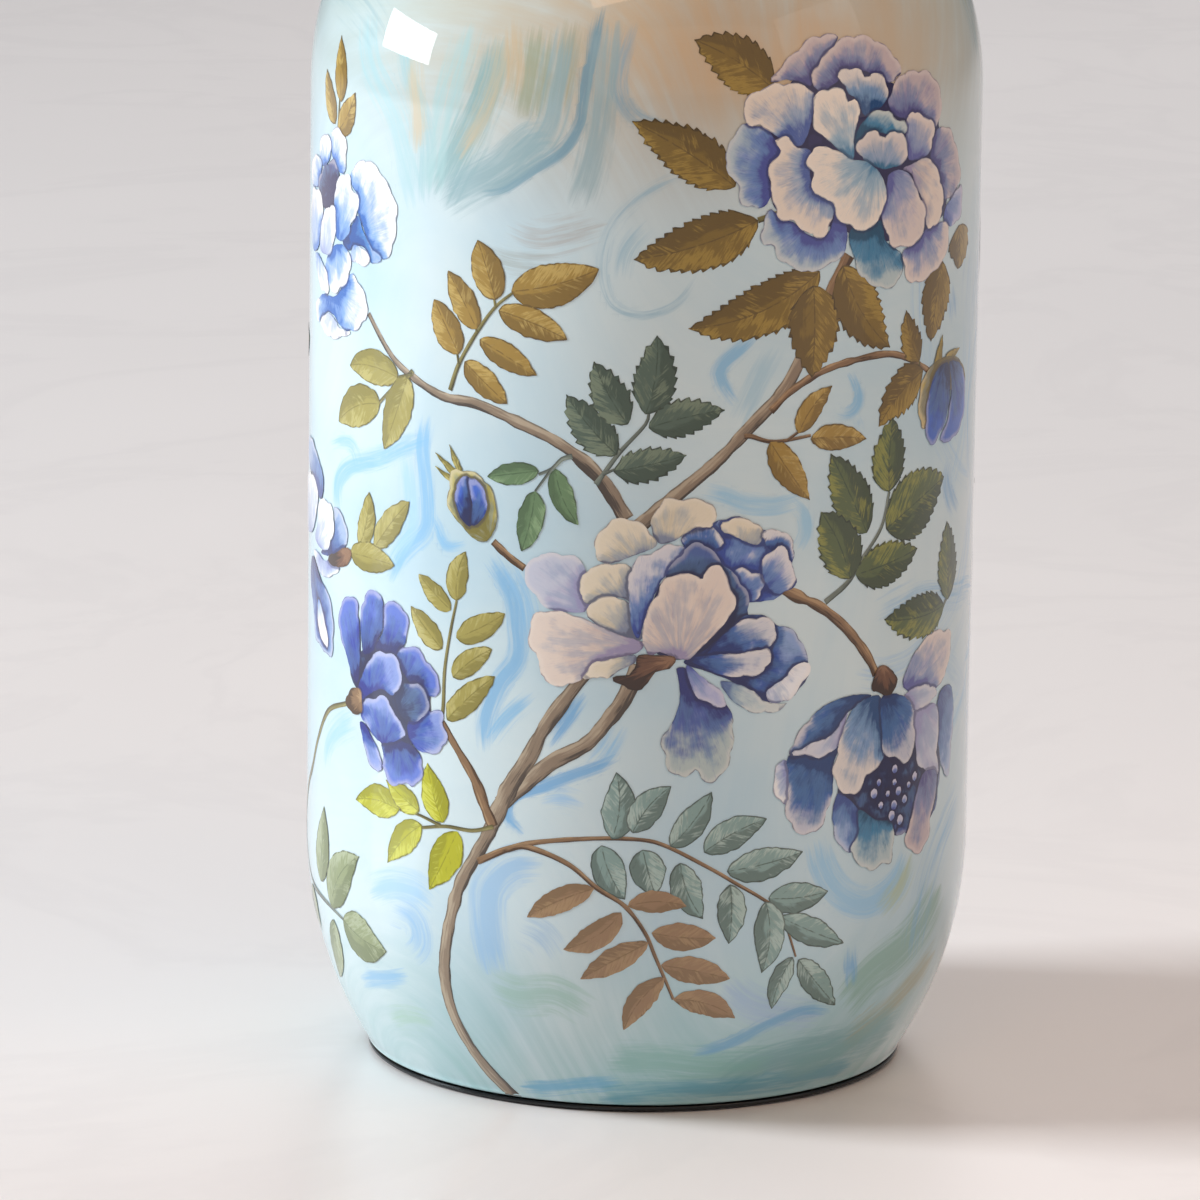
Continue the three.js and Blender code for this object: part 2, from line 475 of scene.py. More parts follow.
@once
def pad_felt():
    """Pressed wool felt: crossing fibres, lighter where they stand proud."""
    colours = bpy.context.scene.vase_colours
    p = Paint("pad_felt", Roughness=0.95, Sheen_Weight=0.5)
    where = p.place()
    one = p.noise(where * (1.0, 7.0, 3.0), 700.0, 4.0, 0.7, 0.8)
    two = p.noise(where * (7.0, 1.0, 3.0), 640.0, 4.0, 0.7, 0.8)
    fibres = (one + two) * 0.5
    p.colour(p.mix(fibres.step(0.42, 0.62), tuple(colours.felt), tint("#55575d")))
    p.relief(fibres, 0.25)
    return p.material


@once
def studio_floor():
    """Pale honed stone with very faint veins."""
    p = Paint("studio_floor", Coat_Weight=0.3, Coat_Roughness=0.2)
    where = p.place()
    veins = p.noise(where, 4.0, 6.0, 0.6, 0.8)
    vein = 1 - abs(veins - 0.5).step(0.0, 0.05)
    p.colour(p.mix(vein * 0.12, tint("#f1eceb"), tint("#d8d3d4")))
    p.feed(p.shader.inputs["Roughness"], 0.32 + veins * 0.1)
    return p.material


# ---------------------------------------------------------------- the turned pottery

def arc(centre, radius, start, end, step):
    """Points along an arc in the (radius, height) plane."""
    count = max(3, math.ceil(abs(end - start) * radius / step))
    angles = np.linspace(start, end, count + 1)
    return [(centre[0] + radius * math.cos(a), centre[1] + radius * math.sin(a)) for a in angles]


def straight(start, end, step):
    """Points along a straight stretch of the profile."""
    count = max(1, math.ceil(math.dist(start, end) / step))
    return [tuple(np.array(start) + (np.array(end) - np.array(start)) * i / count) for i in range(count + 1)]


def turned(name, profile, segments, finishes, sharp=35.0):
    """A solid of revolution. A stretch of its profile is points and a material number; ends close."""
    points, numbers = [], []
    for stretch, number in profile:
        for point in stretch:
            if points and math.dist(point, points[-1]) < 1e-4:
                continue
            points.append(point)
            numbers.append(number)
    angles = np.arange(segments) * 2 * math.pi / segments
    vertices, rows = [], []
    for radius, height in points:
        if radius < 1e-6:
            rows.append([len(vertices)] * segments)
            vertices.append((0.0, 0.0, height * MM))
            continue
        rows.append(list(range(len(vertices), len(vertices) + segments)))
        vertices.extend((radius * math.sin(a) * MM, -radius * math.cos(a) * MM, height * MM) for a in angles)
    faces, slots = [], []
    for row in range(len(rows) - 1):
        below, above = rows[row], rows[row + 1]
        for i in range(segments):
            j = (i + 1) % segments
            four = [below[i], below[j], above[j], above[i]]
            face = [c for k, c in enumerate(four) if c not in four[:k]]
            if len(face) > 2:
                faces.append(face)
                slots.append(numbers[row + 1])
    mesh = bpy.data.meshes.new(name)
    mesh.from_pydata(vertices, [], faces)
    for finish in finishes:
        mesh.materials.append(finish)
    mesh.polygons.foreach_set("material_index", slots)
    mesh.polygons.foreach_set("use_smooth", [True] * len(faces))
    mesh.set_sharp_from_angle(angle=math.radians(sharp))
    mesh.validate()
    piece = bpy.data.objects.new(name, mesh)
    bpy.context.scene.collection.objects.link(piece)
    return piece


def write_mark(mesh, name, kind, values):
    """Stores one number, vector or colour for each point of a mesh."""
    field = {"FLOAT": "value", "FLOAT_VECTOR": "vector", "FLOAT_COLOR": "color"}[kind]
    layer = mesh.attributes.new(name, kind, "POINT")
    layer.data.foreach_set(field, np.ascontiguousarray(values, dtype=np.float32).ravel())


def skin(up):
    """Radius of the body's outside at each height, and its outward slope there."""
    radius = np.full(up.shape, BELLY)
    out = np.ones(up.shape)
    rise = np.zeros(up.shape)
    for (centre, height), bow, part in (
        (LOWER, LOWER_CURVE, up < LOWER[1]),
        ((FOOT_RADIUS - FOOT_EDGE, FOOT_BOTTOM + FOOT_EDGE), FOOT_EDGE, up < FOOT_BOTTOM + FOOT_EDGE),
        (SHOULDER, SHOULDER_CURVE, up > SHOULDER[1]),
    ):
        climb = np.clip((up - height) / bow, -0.95, 0.95)
        reach = np.sqrt(1 - climb**2)
        radius = np.where(part, centre + bow * reach, radius)
        out = np.where(part, reach, out)
        rise = np.where(part, climb, rise)
    return radius, out, rise


def wrap(across, up, lift):
    """Lays points on the body: millimetres round the belly from the front, up, and proud of the glaze."""
    angle = across / BELLY
    radius, out, rise = skin(up)
    reach = radius + lift * out
    points = np.stack([reach * np.sin(angle), -reach * np.cos(angle), up + lift * rise], -1) * MM
    normals = np.stack([out * np.sin(angle), -out * np.cos(angle), rise], -1)
    return points, normals


# Brush strokes of the front ground: colour, strength, width to either side, places, in millimetres.
GROUND_STROKES = (
    ("#a9cfd6", 0.8, 8, "-71,268 -81,294 -94,309 -101,324"),
    ("#9fc6cd", 0.8, 6, "-69,270 -69,292 -78,308 -82,322"),
    ("#a8cdd0", 0.8, 7, "-67,272 -62,296 -58,313 -56,326"),
    ("#84aeb2", 0.9, 9, "-65,272 -53,294 -47,309 -45,322"),
    ("#93b4bc", 0.9, 8, "-64,270 -55,276 -43,283 -34,292 -26,294"),
    ("#cdbfa2", 0.8, 5, "-72,284 -72,298 -76,316"),
    ("#cbbd9d", 0.8, 5, "-45,326 -44,314 -49,298 -58,284"),
    ("#5f94ad", 1.0, 3.0, "-14,332 -18,306 -19,298 -24,290 -33,284 -42,278 -50,276"),
    ("#93b2ba", 0.8, 8, "-24,326 -26,308 -30,294 -42,284 -56,276"),
    ("#9ba58c", 0.9, 8, "-33,326 -34,310 -36,296"),
    ("#a6a486", 0.8, 6, "-22,328 -24,312 -26,300"),
    ("#c8b595", 0.8, 6, "-42,328 -39,312 -40,302"),
    ("#93b0b8", 0.9, 7, "-11,328 -13,302 -16,285 -20,272"),
    ("#86abc0", 0.8, 4, "-4,328 -8,313 -7,305 -2,299 8,296"),
    ("#8ab6cc", 0.62, 3.2, "12,284 4,281 -4,275 -10,267 -12,256 -9,246 0,243 10,247 16,256"),
    ("#9fc4d6", 0.7, 6, "2,272 -6,262 -8,252"),
    ("#b3b5b4", 0.6, 8, "-42,267 -32,264 -22,266 -10,270"),
    ("#a9b5b4", 0.7, 7, "-50,260 -38,257 -24,258"),
    ("#8cc4ea", 0.8, 4, "-118,191 -108,194 -101,194 -97,188"),
    ("#84bfe8", 0.95, 4.6, "-66,202 -76,198 -87,193 -103,188 -111,181 -110,172"),
    ("#7fbbe6", 0.95, 4.4, "-67,210 -69,199 -68,191 -67,181 -68,174 -77,166 -83,156"),
    ("#a3d0ee", 0.8, 6, "-76,198 -74,186 -74,174 -82,164"),
    ("#7fbbe6", 0.9, 4, "-66,180 -63,176 -60,171 -52,173"),
    ("#74b2e0", 0.95, 4.6, "-46,170 -38,159 -36,149 -36,140 -42,131 -46,120 -46,110"),
    ("#8cc2ea", 0.85, 5, "-40,170 -34,159 -32,150 -33,142"),
    ("#80bce6", 0.85, 4, "-29,131 -39,122 -45,113"),
    ("#62a6dc", 0.95, 3.4, "-15,132 -21,123 -27,114"),
    ("#9ccdf0", 0.8, 7, "-98,113 -110,107 -118,100 -120,92"),
    ("#8fc4ea", 0.8, 5, "-4,123 -9,114 -14,108"),
    ("#62a8de", 0.95, 3.2, "-4,113 -12,109 -19,106 -29,102 -37,99 -39,93 -33,87"),
    ("#9cc9ee", 0.85, 6, "-30,98 -22,100 -14,98"),
    ("#98c3e8", 0.95, 8, "-26,80 -37,78 -44,71 -45,63 -44,53 -42,43"),
    ("#a6c6e0", 0.8, 8, "-36,60 -28,57 -23,50"),
    ("#a0c6bd", 0.85, 9, "-46,42 -36,39 -24,40 -12,34"),
    ("#9cc8e8", 0.85, 7, "-92,61 -80,66 -70,66 -62,62"),
    ("#8fbde4", 0.85, 8, "-82,59 -72,57 -70,50 -76,44"),
    ("#86bbe2", 0.9, 4.4, "-106,30 -96,33 -86,35 -76,38"),
    ("#a9cdbd", 0.7, 8, "-96,20 -82,24 -68,24"),
    ("#5faace", 0.9, 4, "-42,6 -30,7 -18,9 -2,11"),
    ("#93c6e8", 0.9, 7, "55,86 58,76 64,68 75,63 88,67 94,76"),
    ("#b4c4a4", 0.85, 6, "96,76 90,66 80,58"),
    ("#8ab2a6", 0.95, 12, "116,62 106,52 95,45 81,40 70,30"),
    ("#a8ab90", 0.85, 8, "122,40 108,32 96,26 76,16"),
    ("#7fb0b4", 0.9, 8, "104,24 88,20 70,14 52,12"),
    ("#a3bfdc", 0.85, 8, "26,44 36,36 48,32 66,28"),
    ("#6fa9d0", 0.95, 3.4, "18,20 30,23 44,29 56,32 68,30"),
    ("#7dabb2", 0.9, 9, "30,8 40,14 54,17 76,17 110,16"),
    ("#86b8b2", 0.85, 9, "-10,18 8,18 26,16 50,15"),
    ("#589fb4", 0.9, 5, "-14,6 0,7 15,8 51,8 90,8"),
    ("#6aa8d8", 0.9, 4, "70,52 71,46 74,36"),
    ("#7db8e0", 0.95, 3.6, "34,238 30,234 25,230 22,226 24,221 28,216"),
    ("#a9cbdc", 0.8, 5, "40,234 34,224 27,210"),
    ("#7db8e0", 0.95, 3, "64,224 67,219 68,214 64,211 58,213"),
    ("#8cc0e2", 0.85, 3, "65,212 68,208 70,203"),
    ("#97c8e6", 0.9, 4.4, "16,192 24,190 31,187 40,186 50,188"),
    ("#97c8e6", 0.85, 4, "44,188 49,183 50,177 47,172"),
    ("#86b2da", 0.9, 6, "112,244 114,238 116,230"),
    ("#86b2da", 0.9, 5, "116,192 112,186 116,178 122,172"),
)

# Colours of the loose strokes: high on the shoulder, on the belly, and low on the foot.
SHOULDER_CHART = ("#84aeb2", "#93b2ba", "#9ba58c", "#cbbd9d")
BELLY_CHART = ("#84bfe8", "#74b2e0", "#98c3e8", "#a6c6e0")
FOOT_CHART = ("#86b8b2", "#7dabb2", "#5faace", "#a8ab90")

# How many strokes may lie over one another at a point, how many are loose, and where those start.
GROUND_COATS = 3
LOOSE_STROKES = 130
LOOSE_START = 125
LOOSE_STOP = 475
LOOSE_STRIDE = 12

# Heights in millimetres where the washes of the foot end, where the sea wash of the shoulder begins, and
# where the painted warm reflection on the shoulder begins.
FOOT_WASH_TOP = 58
SEA_START = 275
PAINTED_REFLECTION_START = 266


def wandering_strokes(seed, count, start, stop):
    """Loose strokes over the stretch of the vase where none is listed: upright and fanned high on the
    shoulder, curling lower down, level and sea-coloured at the foot."""
    chance = np.random.default_rng(seed)
    strokes = []
    for _ in range(count):
        x, y = chance.uniform(start, stop), chance.uniform(8, 345)
        high, low = y > 262, y < 45
        heading = chance.normal(math.pi / 2, 0.25) if high else chance.uniform(0, 2 * math.pi)
        heading = chance.normal(0, 0.2) if low else heading
        curl = chance.normal(0, 0.1 if high or low else 0.24)
        points = [(x, y)]
        for _ in range(chance.integers(4, 9)):
            heading += curl + chance.normal(0, 0.12)
            x += LOOSE_STRIDE * math.cos(heading)
            y = min(max(y + LOOSE_STRIDE * math.sin(heading), 7), 362)
            points.append((x, y))
        chart = FOOT_CHART if low else SHOULDER_CHART if high else BELLY_CHART
        colour = chart[chance.integers(len(chart))]
        wide = chance.uniform(6, 13) if high or low else chance.uniform(3.5, 12)
        strokes.append((colour, chance.uniform(0.4, 0.8), wide, points))
    return strokes


def measure(points, line):
    """For each point, how far along a line its nearest place is, and how far the point lies to its right."""
    start, run = line[None, :-1], np.diff(line, axis=0)[None]
    length = np.maximum(np.linalg.norm(run, axis=-1), 1e-9)
    place = points[:, None] - start
    share = np.clip((place * run).sum(-1) / length**2, 0, 1)
    apart = np.linalg.norm(place - share[..., None] * run, axis=-1)
    nearest = apart.argmin(1)
    row = np.arange(len(points))
    passed = np.concatenate([[0], np.cumsum(length[0])])[nearest] + share[row, nearest] * length[0, nearest]
    turn = run[0, nearest]
    offset = place[row, nearest]
    right = np.sign(turn[:, 1] * offset[:, 0] - turn[:, 0] * offset[:, 1])
    return passed, apart[row, nearest] * right


def brush_ground(mesh):
    """Marks the strokes, the washes, the painted warm reflection on the shoulder and the flow of the brush on
    the body, for the ground glaze to read.
    """
    count = len(mesh.vertices)
    flat = np.empty(count * 3, dtype=np.float32)
    mesh.vertices.foreach_get("co", flat)
    x, y, up = (flat.reshape(-1, 3) / MM).T
    across = np.arctan2(x, -y) * BELLY
    turn = across / BELLY
    drift = 20 * np.sin(2 * turn + 0.9 * np.sin(up / 44)) + 0.3 * up + 12 * np.sin(3 * turn - up / 37 + 1.3)
    write_mark(mesh, "flow", "FLOAT_VECTOR", np.stack([drift / 3.1, x / 40, y / 40 + up / 70], -1))
    sea = 0.75 * np.clip((FOOT_WASH_TOP - up) / 55, 0, 1) ** 0.8 + 0.4 * np.clip((up - SEA_START) / 50, 0, 1)
    # Painted warm reflection: rises over the shoulder and is strongest at the front, standing in for warm
    # light from above mirrored in the gloss.
    painted_warm_reflection = 0.95 * np.clip((up - PAINTED_REFLECTION_START) / 44, 0, 1) * np.clip(1.25 - np.abs(across - 25) / 130, 0.3, 1)
    write_mark(mesh, "sea", "FLOAT", sea)
    write_mark(mesh, "painted_warm_reflection", "FLOAT", painted_warm_reflection)
    cover = np.zeros((GROUND_COATS, count))
    run = np.zeros((GROUND_COATS, count, 3))
    wash = np.zeros((GROUND_COATS, count, 4))
    placed = [(code, strength, wide, places(text)) for code, strength, wide, text in GROUND_STROKES]
    loose = wandering_strokes(GROUND_SEED, LOOSE_STROKES, LOOSE_START, LOOSE_STOP)
    for number, (code, strength, wide, route) in enumerate(placed + loose):
        line = open_curve(route, 3.0)
        side = (across - line[0, 0] + AROUND / 2) % AROUND - AROUND / 2 + line[0, 0]
        spot = np.stack([side, up], -1)
        near = np.flatnonzero(((spot > line.min(0) - wide) & (spot < line.max(0) + wide)).all(1))
        passed, aside = measure(spot[near], line)
        fade = np.clip(np.minimum(passed, passed.max() - passed) / 9, 0, 1) ** 0.5
        share = np.clip(1 - np.abs(aside) / wide, 0, 1) ** 0.55 * fade * strength
        coat = int(np.argmin([np.minimum(cover[c, near], share).sum() for c in range(GROUND_COATS)]))
        over = share > cover[coat, near]
        spots = near[over]
        cover[coat, spots] = share[over]
        run[coat, spots] = np.stack([aside[over], passed[over], np.full(len(spots), number * 7.3)], -1)
        wash[coat, spots] = tint(code)
    for coat in range(GROUND_COATS):
        write_mark(mesh, f"cover_{coat}", "FLOAT", cover[coat])
        write_mark(mesh, f"run_{coat}", "FLOAT_VECTOR", run[coat])
        write_mark(mesh, f"wash_{coat}", "FLOAT_COLOR", wash[coat])


def body_profile():
    """The pottery's profile: from the axis under the foot, up outside, over the lip, down to the floor."""
    inner = LOWER_CURVE - WALL - FLOOR_FILLET
    fall = -math.asin((LOWER[1] - FLOOR_TOP - FLOOR_FILLET) / inner)
    corner = (LOWER[0] + inner * math.cos(fall), FLOOR_TOP + FLOOR_FILLET)
    edge = (FOOT_RADIUS - FOOT_EDGE, FOOT_BOTTOM + FOOT_EDGE)
    bead = (NECK_RADIUS + LIP_OVERHANG - LIP_BEAD, TOP - LIP_BEAD)
    mouth = NECK_RADIUS - WALL
    inner_lip = (mouth + LIP_INNER_ROUND, TOP - LIP_INNER_ROUND)
    half = math.pi / 2
    clay = straight((0, WELL_TOP), (WELL_RADIUS, WELL_TOP), INNER_STEP)
    clay += straight((WELL_RADIUS, WELL_TOP), (WELL_RADIUS, FOOT_BOTTOM), INNER_STEP)
    dipped = -half * 0.8
    clay += arc(edge, FOOT_EDGE, -half, dipped, FINE_STEP)
    glaze = arc(edge, FOOT_EDGE, dipped, 0, FINE_STEP)
    glaze += arc(LOWER, LOWER_CURVE, -BEND, 0, OUTER_STEP)
    glaze += straight((BELLY, LOWER[1]), (BELLY, SHOULDER[1]), OUTER_STEP)
    glaze += arc(SHOULDER, SHOULDER_CURVE, 0, TURN, OUTER_STEP)
    glaze += arc(FILLET, NECK_FILLET, TURN + math.pi, math.pi, 1.0)
    glaze += arc(bead, LIP_BEAD, -half, half, LIP_STEP)
    inside = arc(inner_lip, LIP_INNER_ROUND, half, 2 * half, LIP_STEP)
    inside += arc(FILLET, NECK_FILLET + WALL, math.pi, TURN + math.pi, 1.5)
    inside += arc(SHOULDER, SHOULDER_CURVE - WALL, TURN, 0, INNER_STEP)
    inside += arc(LOWER, LOWER_CURVE - WALL, 0, fall, INNER_STEP)
    inside += arc(corner, FLOOR_FILLET, fall, -half, 1.5)
    inside += [(0, FLOOR_TOP)]
    return [(clay, 2), (glaze, 0), (inside, 1)]


# ---------------------------------------------------------------- brushwork

# Each chip is (deep, body, rim): petals go from deep at the root to rim; leaves use dark, middle, light.
CHIPS = {
    "ivory": ("#7f8aa2", "#d2c8b0", "#e4dac4"),
    "rose_cream": ("#9a92b4", "#d6c6be", "#e6d8cd"),
    "mist": ("#9c9cc4", "#b9b9d2", "#c6cbdc"),
    "periwinkle": ("#2f479a", "#6f88c6", "#d6d6df"),
    "cobalt": ("#1a2c6c", "#2d51a2", "#8ba4d2"),
    "cobalt_white": ("#1d3274", "#3a5eae", "#d4d5dc"),
    "night": ("#19234f", "#29397a", "#4a62a0"),
    "dusk": ("#302c58", "#45477a", "#5c6292"),
    "violet": ("#2a3276", "#4d60a6", "#b4c3c2"),
    "lilac": ("#5664ac", "#8c96ca", "#b6badc"),
    "grey_green": ("#5b74a4", "#a9bcc6", "#c4d2d4"),
    "plum_rose": ("#4c4a86", "#8d8ab0", "#c6b8bc"),
    "shell": ("#4d62a4", "#a9b6cc", "#e8dccf"),
    "shell_lilac": ("#5e62a2", "#a0a4c4", "#dccfca"),
    "sea_petal": ("#194c6e", "#3680aa", "#b6c8cc"),
    "heart": ("#2f6c92", "#a7b2cc", "#d8cfcc"),
    "pool": ("#4f86ac", "#b2c6d2", "#ece2d6"),
    "iris": ("#4a529c", "#6f88c6", "#b8c8d2"),
    "ultramarine": ("#141b62", "#1f37a0", "#5873cb"),
    "ultramarine_white": ("#1b2a86", "#2d4ab0", "#8599d6"),
    "azure": ("#1c63b6", "#8fb2ec", "#e6e8f0"),
    "azure_white": ("#4a7cc8", "#c2d2f0", "#f0ecec"),
    "azure_deep": ("#174f9c", "#1f6fc2", "#4a90d8"),
    "prussian": ("#153a72", "#285aa4", "#c2c5d3"),
    "prussian_white": ("#1a477c", "#7b9cc6", "#dcd6d2"),
    "slate": ("#324a8c", "#5a7ab6", "#a0b6da"),
    "umber_olive": ("#5a4724", "#80682c", "#ab8f40"),
    "gold": ("#6b5322", "#a0823a", "#c8ad64"),
    "olive": ("#78702f", "#a0964c", "#bfb672"),
    "forest": ("#36463a", "#54675a", "#82917a"),
    "green": ("#40593c", "#64835c", "#8dab80"),
    "moss": ("#2f3d36", "#586642", "#98994a"),
    "lime": ("#87860e", "#b2b21c", "#d6d958"),
    "grey_olive": ("#66724e", "#8e9a72", "#b2bc9c"),
    "teal_grey": ("#45574f", "#86a39f", "#b8cdc6"),
    "brown": ("#7a6242", "#97795a", "#ab8e68"),
    "ochre_olive": ("#6f5f1c", "#99832c", "#bda650"),
    "taupe": ("#4a4038", "#8b7a67", "#b3a48e"),
    "umber": ("#4c3520", "#86684a", "#ae8f6a"),
    "rust": ("#38251d", "#6a4936", "#8f6b50"),
    "stem_olive": ("#4f4a2a", "#77703f", "#98905c"),
    "stem_grey": ("#46504a", "#6a756c", "#8c978c"),
    "pearl": ("#8e98c8", "#ccd2e6", "#eef0f4"),
    "bud_blue": ("#101c50", "#1b3c96", "#3a64c4"),
}


def near_polygon(points, outline):
    """Distance of each point to a closed outline, and whether it lies inside."""
    start = outline[None, :, :]
    end = np.roll(outline, -1, axis=0)[None, :, :]
    place = points[:, None, :]
    run = end - start
    share = np.clip(((place - start) * run).sum(-1) / np.maximum((run**2).sum(-1), 1e-9), 0, 1)
    apart = np.linalg.norm(place - start - share[..., None] * run, axis=-1).min(1)
    rising = (start[..., 1] > place[..., 1]) != (end[..., 1] > place[..., 1])
    drop = np.where(run[..., 1] == 0, 1e-9, run[..., 1])
    crossing = place[..., 0] < start[..., 0] + (place[..., 1] - start[..., 1]) * run[..., 0] / drop
    inside = ((rising & crossing).sum(1) % 2) == 1
    return apart, inside


def between(a, b, c, d, step):
    """Points of a smooth curve through a, b, c and d, from b to just before c."""
    count = max(2, math.ceil(math.dist(b[:2], c[:2]) / step))
    bend = 2 * a - 5 * b + 4 * c - d
    twist = 3 * b - a - 3 * c + d
    return [0.5 * (2 * b + (c - a) * t + bend * t**2 + twist * t**3) for t in np.arange(count) / count]


def closed_curve(points, step=1.3):
    """A smooth closed outline through a few points."""
    points = np.array(points, dtype=float)
    ring = []
    for i in range(len(points)):
        ring += between(*(points[(i + k) % len(points)] for k in (-1, 0, 1, 2)), step)
    return np.array(ring)


def open_curve(points, step=1.6):
    """A smooth open line through a few points."""
    points = np.array(points, dtype=float)
    ends = np.vstack([2 * points[0] - points[1], points, 2 * points[-1] - points[-2]])
    line = []
    for i in range(1, len(ends) - 2):
        line += between(*ends[i - 1:i + 3], step)
    return np.array([*line, points[-1]])


def softened(values):
    """Evens out each value with its neighbours."""
    return np.convolve(values, (0.25, 0.5, 0.25), "same")


class Placement:
    """Moves a motif round the vase: scaled, mirrored and turned about its pivot, then set down at a place."""

    def __init__(self, pivot=(0, 0), at=(0, 0), turn=0.0, scale=1.0, mirror=False):
        self.pivot = np.array(pivot, dtype=float)
        self.at = np.array(at, dtype=float)
        self.scale = scale
        self.mirror = mirror
        cos, sin = math.cos(math.radians(turn)), math.sin(math.radians(turn))
        self.matrix = np.array([[cos, -sin], [sin, cos]]) @ np.diag([-scale if mirror else scale, scale])

    def __call__(self, points):
        return (points - self.pivot) @ self.matrix.T + self.at


class Painting:
    """Gathers brushed shapes on the body, first to last, and makes one piece of what shows of them."""

    MARKS = {
        "edge": "FLOAT", "under": "FLOAT", "tone": "FLOAT", "line": "FLOAT", "rib": "FLOAT", "along": "FLOAT",
        "grain": "FLOAT_VECTOR", "deep": "FLOAT_COLOR", "body": "FLOAT_COLOR", "rim": "FLOAT_COLOR",
    }

    def __init__(self, name, level=0, placement=None, seed=1, swap=None):
        self.name = name
        self.level = level
        self.placement = placement or Placement()
        self.swap = swap or {}
        self.chance = np.random.default_rng(seed)
        self.shapes = []

    def add(self, ring, spine, finish, chip, line, marks):
        """Keeps a shape: outline, extra points, finish, colours, line strength and what it says at points."""
        forward = np.roll(ring, -1, axis=0)
        if (ring[:, 0] * forward[:, 1] - ring[:, 1] * forward[:, 0]).sum() < 0:
            ring = ring[::-1]
        chip = self.swap.get(chip, chip)
        seed = self.chance.uniform(0, 400)
        self.shapes.append((ring, spine, finish, chip, line, marks, seed))

    def petal(self, chip, root, outline, dark=0.4, line=1.0, lobes=0.95):
        """A petal inside a smooth, lobed outline. Dark is the share of it, from its root, that stays dark."""
        ring = closed_curve(outline)
        root = np.array(root, dtype=float)
        reach = np.linalg.norm(ring - root, axis=1)
        forward = np.roll(ring, -1, axis=0) - np.roll(ring, 1, axis=0)
        side = np.stack([forward[:, 1], -forward[:, 0]], -1)
        side /= np.maximum(np.linalg.norm(side, axis=1, keepdims=True), 1e-9)
        outward = np.sign((side * (ring - ring.mean(0))).sum())
        way = np.cumsum(np.linalg.norm(np.diff(ring, axis=0, append=ring[:1]), axis=1))
        waves = max(3, round(way[-1] / LOBE_LENGTH))
        wave = np.abs(np.sin(way / way[-1] * math.pi * waves + self.chance.uniform(0, 3))) ** 0.7 - 0.6
        rim = np.clip((reach / reach.max() - 0.5) / 0.25, 0, 1)
        jitter = self.chance.normal(0, 0.07, len(ring))
        ring = ring + side * (outward * (wave * lobes * rim + jitter))[:, None]
        shortest, longest = reach.min() * 0.6, max(reach.max(), 1e-6)
        middle = ring.mean(0) - root
        heading = math.atan2(middle[1], middle[0])
        typical = reach.mean()

        def marks(points):
            away = points - root
            far = np.linalg.norm(away, axis=1)
            share = np.clip((far - shortest) / (longest - shortest), 0, 1)
            deep = 0.5 * share / max(dark, 1e-3)
            pale = 0.5 + 0.5 * (share - dark) / max(1 - dark, 1e-3)
            tone = np.where(share < dark, deep, pale)
            edge, _ = near_polygon(points, ring)
            tone = tone + 0.3 * np.clip(1 - edge / 3, 0, 1) * np.clip((share - 0.35) / 0.3, 0, 1)
            fan = (np.arctan2(away[:, 1], away[:, 0]) - heading + math.pi) % (2 * math.pi) - math.pi
            return {"tone": tone, "grain": np.stack([fan * typical, far], -1)}

        finish = bark_paint if chip in ("rust", "umber") else petal_paint
        self.add(ring, np.zeros((0, 2)), finish, chip, line, marks)

    def ribbon(self, centre, half, finish, chip, line, left=None, right=None):
        """A shape along a centre line, with a half width at each point or its own left and right edges."""
        forward = np.gradient(centre, axis=0)
        forward /= np.maximum(np.linalg.norm(forward, axis=1, keepdims=True), 1e-9)
        side = np.stack([forward[:, 1], -forward[:, 0]], -1)
        left = centre - side * half[:, None] if left is None else left
        right = centre + side * half[:, None] if right is None else right
        ring = np.vstack([right, left[::-1]])
        ring[:, 1] = np.maximum(ring[:, 1], FOOT_BOTTOM + PAINT_START)
        passed = np.concatenate([[0], np.cumsum(np.linalg.norm(np.diff(centre, axis=0), axis=1))])

        def marks(points):
            along, aside = measure(points, centre)
            width = np.maximum(np.interp(along, passed, half), 0.2)
            tone = np.clip(aside / width, -1, 1) / 2 + 0.5
            return {"tone": tone, "rib": aside, "along": along, "grain": np.stack([aside, along], -1)}

        wide = half > 0.25
        self.add(ring, centre[wide][1:-1], finish, chip, line, marks)

    def stem(self, chip, route, widths, line=0.8):
        """A branch or stem through places, its width given at the two ends or at every place."""
        if len(widths) != len(route):
            widths = np.linspace(widths[0], widths[-1], len(route))
        curve = open_curve([(x, y, w) for (x, y), w in zip(route, widths)])
        half = curve[:, 2] / 2
        knots = self.chance.normal(0, 0.26, len(half)) * np.clip(half - 0.5, 0, 1)
        self.ribbon(curve[:, :2], half + softened(knots), bark_paint, chip, line)

